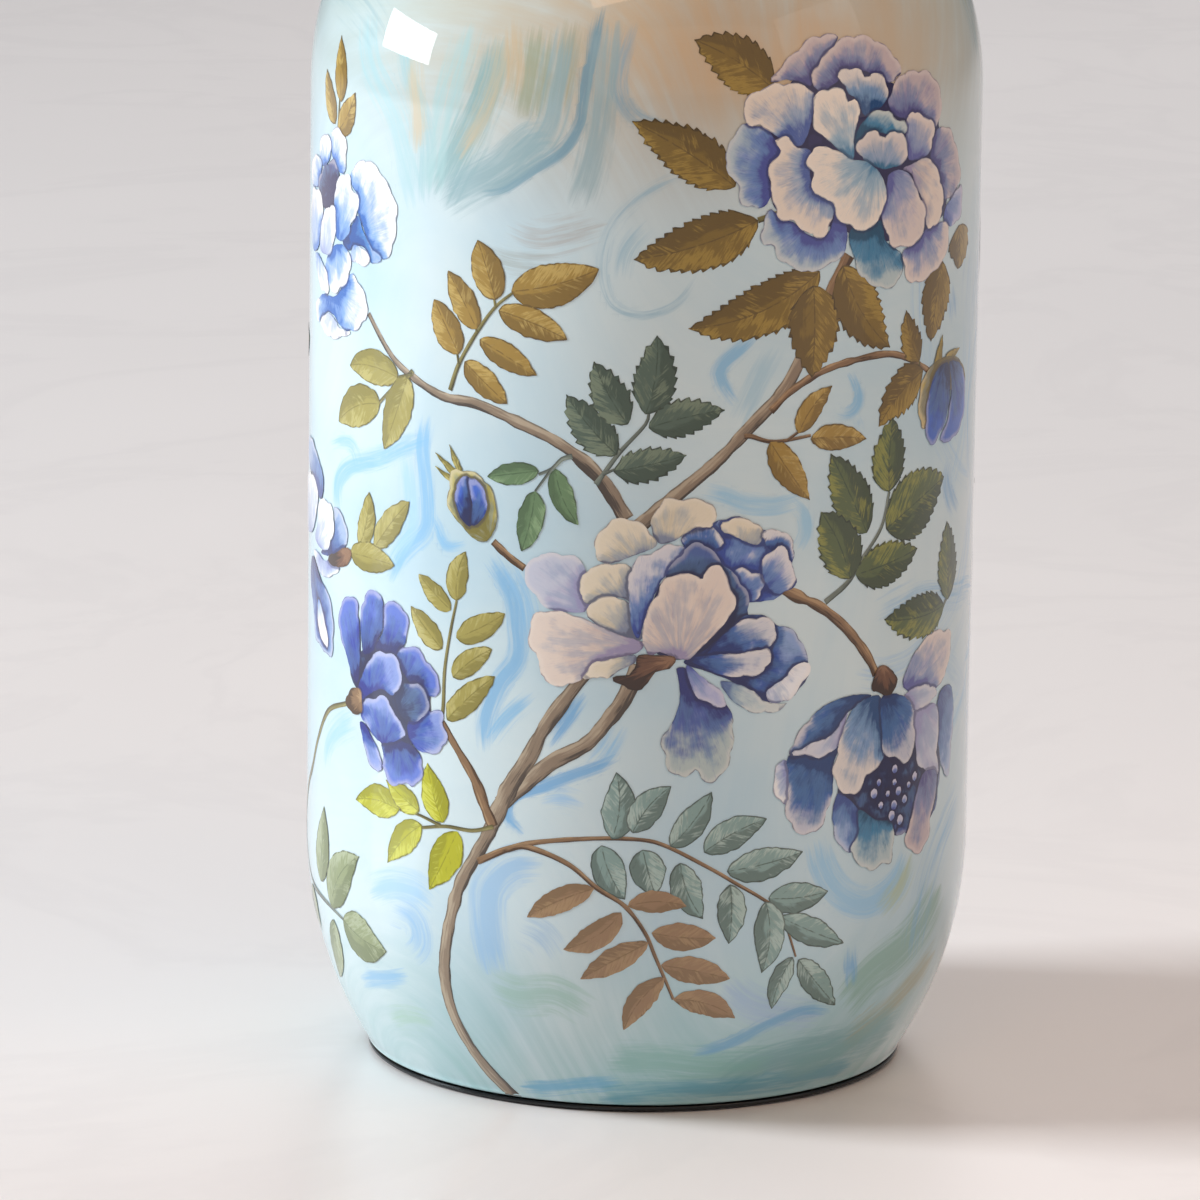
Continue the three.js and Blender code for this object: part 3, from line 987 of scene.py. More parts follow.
    def leaf(self, chip, base, tip, width, bow=None, blade=(0.55, 0.75), tooth=0.0, line=0.8):
        """A leaf from base to tip. Bow bends its rib, blade shapes its outline, tooth serrates it."""
        base, tip = np.array(base, dtype=float), np.array(tip, dtype=float)
        length = math.dist(base, tip)
        bow = self.chance.uniform(-0.09, 0.09) if bow is None else bow
        share = np.linspace(0, 1, max(12, math.ceil(length / 0.7)))
        ahead = (tip - base) / length
        beside = np.array([ahead[1], -ahead[0]])
        centre = base + np.outer(share, tip - base) + np.outer(4 * share * (1 - share) * bow * length, beside)
        rise, fall = blade
        peak = (rise / (rise + fall)) ** rise * (fall / (rise + fall)) ** fall
        half = width / 2 * share**rise * (1 - share) ** fall / peak
        half = np.maximum(half, 0.12)
        forward = np.gradient(centre, axis=0)
        forward /= np.linalg.norm(forward, axis=1, keepdims=True)
        side = np.stack([forward[:, 1], -forward[:, 0]], -1)
        edges = []
        for sign in (-1, 1):
            teeth = (share * length / TOOTH_PITCH + self.chance.uniform(0, 1)) % 1.0
            jag = tooth * teeth * np.minimum(half / 2.5, 1) * (share > 0.12)
            rough = softened(self.chance.normal(0, 0.22, len(half)))
            reach = np.maximum(half + (jag + rough) * np.minimum(half, 1), 0.1)
            edges.append(centre + side * (sign * reach)[:, None] + forward * (jag * 0.5)[:, None])
        self.ribbon(centre, half, leaf_paint, chip, line, *edges)

    def dots(self, chip, spots, radius):
        """Round dabs of thick paint."""
        for x, y in spots:
            size = radius * self.chance.uniform(0.75, 1.2)
            turns = np.arange(8) * 2 * math.pi / 8
            ring = [(x + size * math.cos(a), y + size * 1.1 * math.sin(a)) for a in turns]
            self.petal(chip, (x, y - size), ring, dark=0.2, line=0.0, lobes=0.0)

    def cloud(self):
        """The outlines of all shapes, and points inside each one where nothing later covers it."""
        spacing = bpy.context.scene.vase_sizes.petal_mesh
        boxes = [(ring.min(0) - 1, ring.max(0) + 1) for ring, *_ in self.shapes]
        points, rings, inner = [], [], []
        count = 0
        for number, (ring, spine, *_) in enumerate(self.shapes):
            rings.append(list(range(count, count + len(ring))))
            points.append(ring)
            count += len(ring)
            low, high = ring.min(0), ring.max(0)
            xs = np.arange(low[0], high[0], spacing)
            ys = np.arange(low[1], high[1], spacing * 0.87)
            grid = [(x + (j % 2) * spacing / 2, y) for j, y in enumerate(ys) for x in xs]
            grid = np.array(grid).reshape(-1, 2)
            forward = np.roll(ring, -1, axis=0) - np.roll(ring, 1, axis=0)
            inward = np.stack([-forward[:, 1], forward[:, 0]], -1)
            inward /= np.maximum(np.linalg.norm(inward, axis=1, keepdims=True), 1e-9)
            inset = (ring + inward * INSET)[::2]
            for extra, clear in ((inset, 0.6), (grid, 1.5), (spine, 0.3)):
                if not len(extra):
                    continue
                apart, inside = near_polygon(extra, ring)
                inner.append((number, extra[inside & (apart > clear)]))
        kept = []
        for number, extra in inner:
            for other, (ring, *_) in enumerate(self.shapes):
                low, high = boxes[other]
                near = ((extra > low) & (extra < high)).all(1)
                if other == number or not near.any():
                    continue
                apart, inside = near_polygon(extra[near], ring)
                drop = (apart < 0.4) | (inside & (other > number))
                extra = np.delete(extra, np.flatnonzero(near)[drop], axis=0)
            kept.append(extra)
        return np.vstack(points + kept), rings

    def visible(self):
        """Triangles of the painting, each given to the last shape laid over it."""
        points, rings = self.cloud()
        flat, _, faces, _, _, owners = delaunay_2d_cdt([Vector(p) for p in points], [], rings, 1, 1e-4, True)
        flat = np.array([tuple(v) for v in flat])
        shown = [[] for _ in self.shapes]
        for face, owner in zip(faces, owners):
            if not owner:
                continue
            (ax, ay), (bx, by), (cx, cy) = flat[list(face)]
            size = (bx - ax) * (cy - ay) - (by - ay) * (cx - ax)
            if abs(size) > 1e-5:
                shown[max(owner)].append(list(face) if size > 0 else list(face)[::-1])
        return flat, shown

    def make(self):
        """Wraps what shows round the body as one piece and gives it the body's own normals."""
        sizes = bpy.context.scene.vase_sizes
        flat, shown = self.visible()
        boxes = [(ring.min(0) - 8, ring.max(0) + 8) for ring, *_ in self.shapes]
        finishes, points, faces, slots, rows = [], [], [], [], []
        count = 0
        for number, (ring, _, finish, chip, line, marks, seed) in enumerate(self.shapes):
            if not shown[number]:
                continue
            used = np.unique(np.array(shown[number]))
            spots = flat[used]
            index = {old: count + new for new, old in enumerate(used.tolist())}
            faces.extend([[index[i] for i in face] for face in shown[number]])
            if finish not in finishes:
                finishes.append(finish)
            slots.extend([finishes.index(finish)] * len(shown[number]))
            row = marks(spots)
            row["edge"], _ = near_polygon(spots, ring)
            row["under"] = np.full(len(spots), 8.0)
            for other in range(number + 1, len(self.shapes)):
                low, high = boxes[other]
                near = ((spots > low) & (spots < high)).all(1)
                if near.any():
                    apart, _ = near_polygon(spots[near], self.shapes[other][0])
                    row["under"][near] = np.minimum(row["under"][near], apart)
            row["line"] = line
            row["grain"] = np.hstack([row["grain"], np.full((len(spots), 1), seed)])
            row["deep"], row["body"], row["rim"] = (tint(code) for code in CHIPS[chip])
            full = {}
            for name, kind in self.MARKS.items():
                width = {"FLOAT": 1, "FLOAT_VECTOR": 3, "FLOAT_COLOR": 4}[kind]
                full[name] = np.broadcast_to(np.reshape(row.get(name, 0.0), (-1, width)), (len(spots), width))
            rows.append(full)
            points.append(spots)
            count += len(spots)
        if self.placement.mirror:
            faces = [face[::-1] for face in faces]
        laid = self.placement(np.concatenate(points))
        lift = sizes.paint_lift + sizes.coat * self.level
        spots, normals = wrap(laid[:, 0], laid[:, 1], np.full(len(laid), lift))
        mesh = bpy.data.meshes.new(self.name)
        mesh.from_pydata([tuple(p) for p in spots], [], faces)
        for finish in finishes:
            mesh.materials.append(finish())
        mesh.polygons.foreach_set("material_index", slots)
        mesh.polygons.foreach_set("use_smooth", [True] * len(faces))
        for name, kind in self.MARKS.items():
            write_mark(mesh, name, kind, np.concatenate([row[name] for row in rows]))
        mesh.normals_split_custom_set_from_vertices([tuple(n) for n in normals])
        piece = bpy.data.objects.new(self.name, mesh)
        bpy.context.scene.collection.objects.link(piece)
        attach(piece, "root")
        return piece


def places(text):
    """Pairs of millimetres, round and up, written one after another."""
    return [tuple(float(v) for v in pair.split(",")) for pair in text.split()]


# ---------------------------------------------------------------- the flowers, in millimetres round and up

# Petals from the back of each flower to the front: chip, root, outline, the share of it that stays dark,
# and how strong its drawn line is if it isn't full.
ROSE = (
    ("periwinkle", "21,155", "12,174 14,180 20,181 24,183 30,183 36,179 42,178 46,173 45,167 47,163 41,159 "
     "32,158 27,160 21,165 13,168", 0.5),
    ("ivory", "29,169", "24,182 28,183 33,182 36,179 35,175 31,176 27,178 24,180", 0.5),
    ("cobalt_white", "35,165", "36,178 39,179 43,178 46,174 45,169 42,171 39,173 37,175", 0.5),
    ("cobalt_white", "18,167", "12,177 14,180 18,181 22,180 24,176 21,174 17,175 14,174", 0.45),
    ("periwinkle", "24,157", "29,168 33,167 37,165 36,161 33,158 28,160 26,165", 0.4),
    ("periwinkle", "33,159", "38,172 42,174 45,170 46,166 47,163 41,160 37,164 36,169", 0.5),
    ("ivory", "8,172", "4,185 7,189 11,189 16,189 20,188 22,184 21,181 17,181 13,179 10,177 6,176 4,178 "
     "3,182", 0.25),
    ("ivory", "3,166", "-13,176 -11,180 -7,183 -2,183 2,180 5,176 2,174 -3,172 -8,170 -12,171 -13,173", 0.2),
    ("mist", "-9,155", "-34,166 -30,171 -24,172 -18,171 -15,166 -14,161 -15,156 -20,155 -27,156 -32,161",
     0.2, 0.0),
    ("ivory", "-1,155", "-17,163 -16,167 -12,169 -8,170 -3,169 -1,166 -1,159 -6,160 -11,159 -15,158 "
     "-17,160", 0.2),
    ("ivory", "1,146", "-15,155 -13,159 -8,160 -4,159 -1,155 1,148 -4,148 -9,150 -13,152", 0.4),
    ("periwinkle", "1,144", "-3,167 0,172 5,174 9,176 13,174 11,170 7,166 4,160 2,155 0,148 -2,151 -3,160",
     0.2),
    ("rose_cream", "2,145", "-32,150 -30,154 -25,155 -18,154 -13,152 -6,149 1,147 0,144 -6,142 -12,140 "
     "-16,136 -19,134 -23,133 -28,135 -29,140 -32,144", 0.4),
    ("ivory", "2,144", "-16,136 -13,140 -7,142 -1,143 -1,141 -6,138 -9,136 -13,136", 0.2),
    ("night", "11,143", "2,151 6,164 13,174 18,176 24,170 31,162 32,154 28,151 21,145 14,142 6,143", 0.6,
     0.0),
    ("cobalt", "12,142", "27,151 31,154 36,154 41,151 47,148 50,143 52,138 51,134 49,131 44,128 40,128 "
     "34,130 27,135 20,138 13,141 20,145", 0.5),
    ("pearl", "34,143", "38,131 43,134 46,137 51,139 52,136 49,132 45,128 40,128", 0.3, 0.3),
    ("grey_green", "17,140", "24,135 29,134 33,132 37,129 41,127 45,127 41,125 35,125 29,128 26,131", 0.3),
    ("cobalt_white", "12,142", "20,143 26,150 32,153 38,153 41,149 39,145 34,144 27,143", 0.5),
    ("cobalt_white", "12,142", "15,142 24,143 32,143 38,144 39,140 36,137 31,136 24,137 19,139", 0.45),
    ("violet", "12,142", "11,139 14,139 17,135 21,130 26,128 28,123 28,116 27,111 24,106 21,105 18,107 "
     "17,109 14,107 10,108 8,113 7,118 10,123 12,129 12,134", 0.55),
    ("lilac", "12,142", "14,140 18,137 24,132 26,128 22,128 17,131 15,135", 0.35),
    ("rose_cream", "12,141", "1,148 2,155 5,161 8,166 13,167 17,166 18,166 21,169 24,169 25,166 26,163 "
     "28,160 27,155 23,150 18,145 15,142 11,142 6,144 3,143", 0.18),
    ("rust", "10,142", "-7,136 -5,134 1,133 5,138 9,139 11,142 9,143 5,143 0,143 -1,139 -4,137", 0.4),
)

PEONY = (
    ("dusk", "65,289", "39,305 51,314 66,315 78,307 96,300 104,287 109,274 105,265 94,261 73,261 59,266 "
     "44,270 37,276 36,293", 0.6),
    ("plum_rose", "53,304", "37,310 40,314 44,317 50,321 55,322 60,321 58,318 54,316 51,311 49,308 44,310",
     0.4),
    ("plum_rose", "64,303", "50,309 51,313 56,317 60,320 66,321 72,320 78,317 82,313 83,309 78,307 73,309 "
     "68,311 62,311 59,309 55,307 52,306", 0.35),
    ("plum_rose", "84,293", "78,303 82,308 88,309 96,308 101,304 103,299 101,292 95,293 88,295 80,297 "
     "77,301", 0.3),
    ("plum_rose", "94,280", "97,284 99,289 102,291 108,290 112,286 116,279 117,274 113,270 107,269 103,273 "
     "99,280", 0.4),
    ("lilac", "102,271", "107,267 113,270 118,272 119,266 117,262 110,261 106,263", 0.4),
    ("iris", "43,282", "23,286 24,292 26,296 29,298 34,297 37,294 40,290 37,286 36,282 37,278 35,274 31,274 "
     "28,275 27,279 26,282", 0.5),
    ("iris", "53,271", "34,266 35,270 37,273 41,270 44,269 49,265 54,264 57,268 58,271 61,269 62,266 62,260 "
     "59,257 54,255 49,254 44,256 40,258 38,262 35,263", 0.55),
    ("sea_petal", "71,268", "63,262 64,266 70,265 75,267 77,261 81,258 85,255 84,250 81,247 76,247 71,249 "
     "67,252 65,257", 0.5),
    ("shell_lilac", "92,265", "85,257 92,259 96,262 103,263 109,261 109,256 107,252 101,249 95,247 89,247 "
     "86,250 85,254", 0.45),
    ("shell", "48,290", "28,302 30,306 34,308 38,309 43,309 47,308 50,306 50,301 49,297 48,294 46,291 42,292 "
     "37,295 34,297 30,298", 0.4),
    ("prussian_white", "69,295", "59,310 61,312 64,312 67,311 68,309 71,310 75,309 77,306 77,303 74,300 "
     "70,299 68,298 66,301 64,304 62,305", 0.5),
    ("shell_lilac", "89,282", "85,290 85,294 87,297 90,297 93,295 97,294 99,291 98,287 96,284 90,283 "
     "86,284", 0.35),
    ("sea_petal", "65,286", "64,290 65,294 68,297 71,299 76,299 78,298 80,296 84,295 85,292 81,291 77,292 "
     "71,293 67,292 65,289", 0.5),
    ("heart", "75,280", "65,289 66,291 69,293 73,293 76,291 78,292 82,292 85,289 86,286 84,283 80,282 75,282 "
     "70,284 67,286", 0.35),
    ("pool", "64,284", "50,298 50,303 52,306 56,307 60,306 62,303 64,303 66,300 65,296 64,292 64,286 60,288 "
     "55,292 51,295", 0.25),
    ("rose_cream", "84,285", "84,281 88,282 95,283 100,280 103,276 105,271 105,267 102,263 97,262 95,267 "
     "93,272 90,275 88,279", 0.2),
    ("shell_lilac", "77,282", "77,277 78,280 82,281 87,279 90,275 92,272 95,268 95,264 92,259 86,258 80,259 "
     "77,264 75,269", 0.3),
    ("shell", "54,284", "36,283 37,287 40,290 38,293 41,294 44,291 48,290 50,288 49,284 50,280 54,276 58,274 "
     "57,270 55,265 52,264 48,266 44,269 40,270 38,274 37,279", 0.35),
    ("pool", "73,286", "48,286 50,290 53,290 58,289 63,286 68,285 73,282 76,278 77,273 75,269 71,265 67,265 "
     "62,267 58,270 57,274 52,276 50,279 50,283", 0.3),
)

BELLFLOWER = (
    ("night", "-83,121", "-102,127 -94,134 -79,138 -69,134 -65,127 -67,116 -74,107 -83,107 -94,113 -96,120",
     0.6),
    ("ultramarine", "-95,119", "-109,141 -107,146 -102,149 -98,148 -97,144 -96,135 -97,124 -101,126 -104,131 "
     "-108,136", 0.5),
    ("ultramarine", "-94,130", "-96,141 -95,148 -92,152 -87,153 -85,150 -84,145 -86,140 -89,135 -94,133 "
     "-95,135", 0.45),
    ("ultramarine", "-84,132", "-85,141 -84,146 -84,150 -80,151 -75,149 -74,145 -75,140 -78,136 -84,135 "
     "-88,136", 0.45),
    ("ultramarine_white", "-95,116", "-96,112 -93,112 -89,108 -85,103 -85,100 -89,99 -93,104 -95,109", 0.4),
    ("ultramarine", "-78,114", "-84,104 -85,108 -79,110 -71,109 -68,105 -68,101 -71,97 -74,98 -78,96 -82,97 "
     "-84,100", 0.5),
    ("ultramarine", "-77,125", "-79,134 -76,138 -71,139 -68,137 -65,134 -62,131 -62,127 -65,125 -70,126 "
     "-73,128 -77,132", 0.45),
    ("ultramarine_white", "-76,112", "-74,115 -70,120 -65,121 -61,121 -60,117 -59,113 -62,109 -68,108 "
     "-72,110", 0.4),
    ("night", "-79,118", "-79,123 -76,127 -70,128 -66,125 -66,121 -70,117 -76,117", 0.7),
    ("ultramarine_white", "-91,119", "-97,122 -95,126 -91,132 -86,135 -80,135 -77,132 -77,127 -80,123 "
     "-85,124 -90,122 -95,119", 0.45),
    ("ultramarine_white", "-84,107", "-94,119 -89,120 -86,122 -82,121 -79,117 -76,115 -75,112 -80,109 "
     "-86,108 -91,111 -95,114", 0.5),
    ("umber", "-95,119", "-104,117 -101,121 -96,122 -95,119 -95,115 -101,114", 0.3, 0.5),
)

LANTERN = (
    ("night", "80,124", "63,98 66,110 77,120 94,118 111,110 111,93 107,84 95,81 83,83 71,87 65,93", 0.6),
    ("slate", "108,124", "111,121 119,121 122,112 120,100 119,94 114,96 110,105 108,114", 0.5),
    ("shell_lilac", "88,122", "89,127 93,134 97,137 104,140 113,139 118,137 117,130 113,125 106,122 96,123",
     0.3),
    ("mist", "96,122", "95,118 107,118 110,111 109,104 110,96 104,98 98,101 96,108 94,114", 0.4),
    ("mist", "84,123", "88,122 94,125 104,124 108,121 104,119 96,118 91,120", 0.4),
    ("plum_rose", "102,100", "95,86 97,92 101,98 109,97 109,90 106,84 105,78 100,74 94,76 92,80", 0.45),
    ("slate", "67,100", "62,97 64,98 69,94 72,90 73,84 70,80 65,81 62,86 61,92", 0.45),
    ("sea_petal", "77,94", "71,92 78,88 85,86 86,80 85,74 81,74 76,73 71,76 68,80 71,85", 0.45),
    ("pearl", "48,108", "41,104 42,109 45,110 46,106 46,100 45,97 42,99", 0.3),
    ("prussian", "59,117", "45,110 48,112 55,111 60,112 63,112 61,107 61,100 59,93 57,89 53,87 48,89 45,95 "
     "46,103", 0.7),
    ("prussian", "71,127", "46,112 49,118 54,123 60,126 68,127 75,126 72,124 66,122 64,117 62,112 57,110 "
     "51,111", 0.6),
    ("mist", "67,124", "47,112 53,114 60,116 64,120 66,122 64,116 62,112 57,110 51,111", 0.3),
    ("prussian_white", "77,126", "67,122 72,125 79,125 80,117 81,110 80,105 74,102 71,98 68,97 64,99 61,104 "
     "62,109 64,116", 0.45),
    ("prussian", "80,126", "79,124 85,125 93,121 95,114 95,106 90,103 86,106 81,107 80,114", 0.6),
    ("rust", "80,134", "76,127 76,131 78,134 81,134 85,131 86,128 84,125", 0.3, 0.5),
)

CAMELLIA = (
    ("azure_white", "-116,273", "-117,285 -112,287 -107,285 -106,281 -107,275 -109,274 -112,275 -116,278 "
     "-117,282", 0.4),
    ("azure_white", "-121,272", "-128,280 -124,283 -120,284 -117,281 -118,277 -123,274 -127,275", 0.3),
    ("azure_white", "-122,269", "-139,273 -132,276 -126,275 -126,272 -127,268 -135,266 -140,268", 0.3),
    ("dusk", "-118,268", "-126,272 -118,276 -114,277 -111,273 -112,267 -116,263 -122,261 -125,264 -129,267",
     0.6),
    ("azure_white", "-133,245", "-140,261 -137,265 -130,266 -125,264 -124,260 -126,255 -129,249 -136,247 "
     "-141,253", 0.4),
    ("azure", "-105,254", "-103,275 -100,278 -95,280 -90,279 -86,276 -83,273 -81,270 -80,266 -81,259 -83,254 "
     "-87,252 -91,254 -94,257 -96,260 -99,264 -99,269 -102,271", 0.3),
    ("azure_deep", "-104,255", "-104,258 -99,263 -96,259 -92,255 -87,252 -91,250 -95,254 -101,254 -104,252 "
     "-108,254", 0.5),
    ("azure_white", "-100,255", "-103,251 -101,254 -97,254 -94,253 -92,251 -95,249 -100,249 -102,249", 0.2),
    ("azure", "-115,240", "-132,231 -123,236 -113,237 -103,245 -98,243 -94,239 -94,234 -98,230 -104,228 "
     "-110,229 -114,231 -120,231 -128,227", 0.45),
    ("pearl", "-114,234", "-126,227 -119,231 -113,230 -110,228 -103,228 -107,226 -115,224 -122,225", 0.2),
    ("azure", "-114,254", "-121,246 -116,251 -110,253 -105,252 -103,249 -104,244 -109,240 -113,238 -118,239 "
     "-121,243", 0.4),
    ("azure_white", "-129,249", "-133,246 -129,247 -122,244 -119,241 -119,237 -125,237 -130,241", 0.25),
    ("azure", "-112,251", "-114,267 -112,271 -108,274 -104,274 -103,271 -99,269 -99,264 -103,260 -104,257 "
     "-109,254 -113,255 -114,261", 0.4),
    ("pearl", "-123,246", "-124,259 -118,263 -114,263 -113,259 -114,254 -117,249 -122,248 -127,249 "
     "-126,255", 0.3),
)

BINDWEED = (
    ("slate", "-127,173", "-145,188 -139,190 -132,188 -124,183 -122,179 -124,174 -129,175 -136,179 "
     "-145,182", 0.4),
    ("pearl", "-138,158", "-153,174 -140,179 -131,178 -128,174 -131,166 -138,161 -153,162", 0.35),
    ("slate", "-125,156", "-113,174 -107,172 -104,168 -105,163 -109,160 -118,158 -124,158 -115,163 "
     "-112,169", 0.5),
    ("pearl", "-131,156", "-127,172 -123,174 -116,174 -113,170 -114,165 -118,160 -125,159 -131,161 "
     "-128,166", 0.3),
    ("cobalt", "-135,158", "-136,154 -131,154 -125,150 -118,147 -114,142 -113,135 -115,128 -122,129 -130,131 "
     "-133,139 -138,147", 0.4),
    ("azure_white", "-129,149", "-127,143 -122,140 -118,134 -118,130 -123,132 -127,136", 0.3),
    ("pearl", "-124,157", "-133,157 -127,157 -120,156 -112,159 -109,158 -110,155 -116,152 -124,151 "
     "-130,154", 0.35),
    ("rust", "-104,161", "-118,157 -112,160 -105,163 -101,162 -104,158 -111,156", 0.3, 0.5),
)

BUD = (
    ("olive", "-45,174", "-58,193 -54,194 -49,193 -45,190 -43,184 -43,179 -46,174 -50,174 -55,178 -59,182 "
     "-59,188", 0.3),
    ("bud_blue", "-51,177", "-57,187 -55,191 -52,192 -51,187 -51,178 -55,180", 0.55),
    ("bud_blue", "-51,177", "-52,192 -49,191 -46,186 -47,181 -51,178 -51,185", 0.55),
)

DROOPING_BUD = (
    ("ochre_olive", "107,223", "94,209 95,216 101,221 111,222 121,219 126,211 108,212 100,211 99,204 "
     "96,203", 0.3),
    ("bud_blue", "109,222", "99,199 98,207 100,214 104,219 111,220 113,213 112,206 107,200 102,197", 0.5),
    ("bud_blue", "111,222", "112,220 121,218 126,211 125,202 118,197 107,197 112,204 114,213", 0.5),
)

# ---------------------------------------------------------------- leaves and stems, millimetres round and up

SERRATED = {"tooth": 1.25, "blade": (0.68, 1.05)}
OVAL = {"blade": (0.6, 0.8)}
POINTED = {"blade": (0.68, 1.02)}
INKED = {"blade": (0.66, 0.92), "line": 2.3}
FLAT = {"blade": (0.75, 0.9), "line": 0.0}

# Each sprig: chip of its leaves, how they are cut, leaves as base, tip and width, then stems as chip, places
# and widths.
SPRIGS = {
    "crown_leaves": ("gold", POINTED, (
        "-110,295 -114,314 8.4", "-114,288 -122,303 8.4", "-112,286 -101,299 9",
    ), (("stem_olive", "-113,276 -112,286 -111,296", (1.6, 0.8)),)),
    "gold_sprig": ("gold", OVAL, (
        "-44,245 -50,262 10.6", "-39,248 -13,256 12.7", "-50,236 -60,252 8.7", "-56,228 -65,243 9.8",
        "-43,242 -22,235 9", "-49,233 -31,224 7.8", "-54,226 -40,215 8.2",
    ), (("stem_olive", "-59,217 -56,225 -50,235 -44,243 -38,248", (1.5, 0.8)),
        ("stem_olive", "-56,225 -57,230", (0.8, 0.6)), ("stem_olive", "-50,235 -51,239", (0.8, 0.6)),
        ("stem_olive", "-44,243 -45,248", (0.8, 0.6)))),
    "round_sprig": ("olive", OVAL, (
        "-79,218 -103,218 10.6", "-87,209 -110,200 12.6", "-75,219 -85,196 11.1",
    ), (("stem_olive", "-73,221 -75,219 -82,214 -89,208", (1.6, 0.9)), ("stem_olive", "-73,220 -80,218",
        (1.1, 0.8)))),
    "dark_sprig": ("forest", SERRATED, (
        "-7,202 -22,219 10.1", "-4,211 -14,229 9.9", "1,214 4,237 11.2", "2,210 24,215 9.4",
        "-8,197 13,202 8.5",
    ), (("stem_grey", "-13,193 -11,196 -6,203 1,211 2,215", (1.7, 0.8)), ("stem_grey", "-11,196 -7,198",
        (0.9, 0.7)),
        ("stem_grey", "-6,203 -8,205", (0.8, 0.6)))),
    "green_sprig": ("green", OVAL, (
        "-30,196 -46,193 6.7", "-31,190 -35,172 8.2", "-25,197 -18,181 6.9",
    ), (("stem_grey", "-20,201 -23,200 -26,197 -30,195", (1.5, 0.8)), ("stem_grey", "-26,197 -31,190", (0.9,
        0.7)))),
    "elbow_sprig": ("olive", OVAL, (
        "-97,165 -92,182 8.3", "-89,166 -74,182 8.6", "-102,162 -80,162 9",
    ), (("stem_olive", "-104,161 -96,165 -88,167", (1.3, 0.8)),)),
    "ladder_sprig": ("olive", OVAL, (
        "-56,155 -53,170 7.5", "-58,152 -70,161 6.6", "-61,140 -73,151 7.5", "-56,144 -40,153 7.8",
        "-57,132 -44,142 7.4", "-59,119 -43,134 8.1",
    ), (("stem_olive", "-66,112 -61,119 -60,134 -58,146 -56,155", (1.4, 0.8)),)),
    "lime_sprig": ("lime", POINTED, (
        "-77,89 -98,88 9.9", "-69,90 -83,97 7.9", "-60,88 -66,105 9.5", "-68,86 -82,72 9.3",
        "-55,86 -65,67 10.8",
    ), (("stem_olive", "-43,89 -50,87 -59,87 -69,85", (1.4, 0.9)), ("stem_olive", "-61,87 -70,89 -77,89",
        (1.1, 0.7)))),
    "foot_sprig": ("grey_olive", POINTED, (
        "-116,51 -96,71 13.9", "-124,57 -120,81 12.2", "-108,49 -85,44 15.2", "-116,47 -127,26 10",
        "-138,53 -135,39 8",
    ), (("stem_grey", "-134,53 -118,51 -108,49", (1.6, 0.9)),)),
    "peony_leaves": ("umber_olive", SERRATED, (
        "37,308 14,322 13.8", "26,280 -4,299 13.2", "33,270 -3,259 14.6", "53,254 13,239 14.4",
        "51,250 51,223 15.8", "61,255 80,229 14.4", "106,251 100,228 15.5", "94,223 87,239 8.1",
        "117,260 117,247 15.5", "96,220 76,206 12.2",
    ), (("umber", "55,243 59,251 63,258", (5, 4)), ("stem_olive", "30,280 36,284", (1.8, 1.4)),
        ("stem_olive", "33,270 40,272", (1.8, 1.4)), ("stem_olive", "94,217 94,223", (1.2, 0.8)))),
    "shade_sprig": ("moss", SERRATED, (
        "72,175 58,200 12.6", "81,186 82,208 13.1", "80,175 110,186 18.8", "66,162 55,183 13.7",
        "68,163 95,167 12.1", "112,147 80,148 12.3", "115,148 113,172 12.6",
    ), (("stem_grey", "57,156 65,161 70,167 78,176 81,186", (1.8, 1)),
        ("stem_grey", "106,141 112,147 115,149", (1.4, 0.9)))),
    "small_gold_sprig": ("gold", POINTED, (
        "47,207 58,220 7.5", "51,205 71,203 8", "38,205 51,187 9.3",
    ), (("umber", "30,207 32,207 39,205 51,206", (1.7, 0.9)), ("umber", "43,205 48,208", (0.9, 0.7)))),
    "fern_sprig": ("teal_grey", INKED, (
        "-7,88 -6,108 10.2", "-1,90 10,104 9.2", "10,86 22,102 8.8", "20,84 39,93 9.7", "27,78 51,82 9.9",
        "40,69 60,69 9.6", "44,63 67,52 8.5", "49,50 44,34 7.4", "51,49 68,32 8.3",
        "-10,86 -3,70 10", "2,85 6,71 10.5", "13,81 20,64 9.4", "28,74 28,56 9.2", "39,68 39,46 10.3",
    ), (("umber", "-48,78 -38,83 -28,86 -12,88 1,88 9,86 22,79 30,74 38,69 44,64 50,50", (2.2, 1.8, 1.5,
        1.3, 1.2, 1.2, 1.1, 1.1, 1, 0.9, 0.7)),)),
    "brown_sprig": ("brown", FLAT, (
        "-12,73 -32,63 7.4", "-4,66 -21,54 8", "4,57 -16,45 7.6", "9,46 -3,29 7.6", "-2,68 15,68 6.6",
        "5,60 24,58 8.6", "8,50 29,45 8.4", "12,39 32,32 7.7",
    ), (("umber", "-39,82.5 -32,84 -20,80 -11,73 -3,68 3,60 6,53 9,46 12,39", (1.7, 0.9)),)),
}

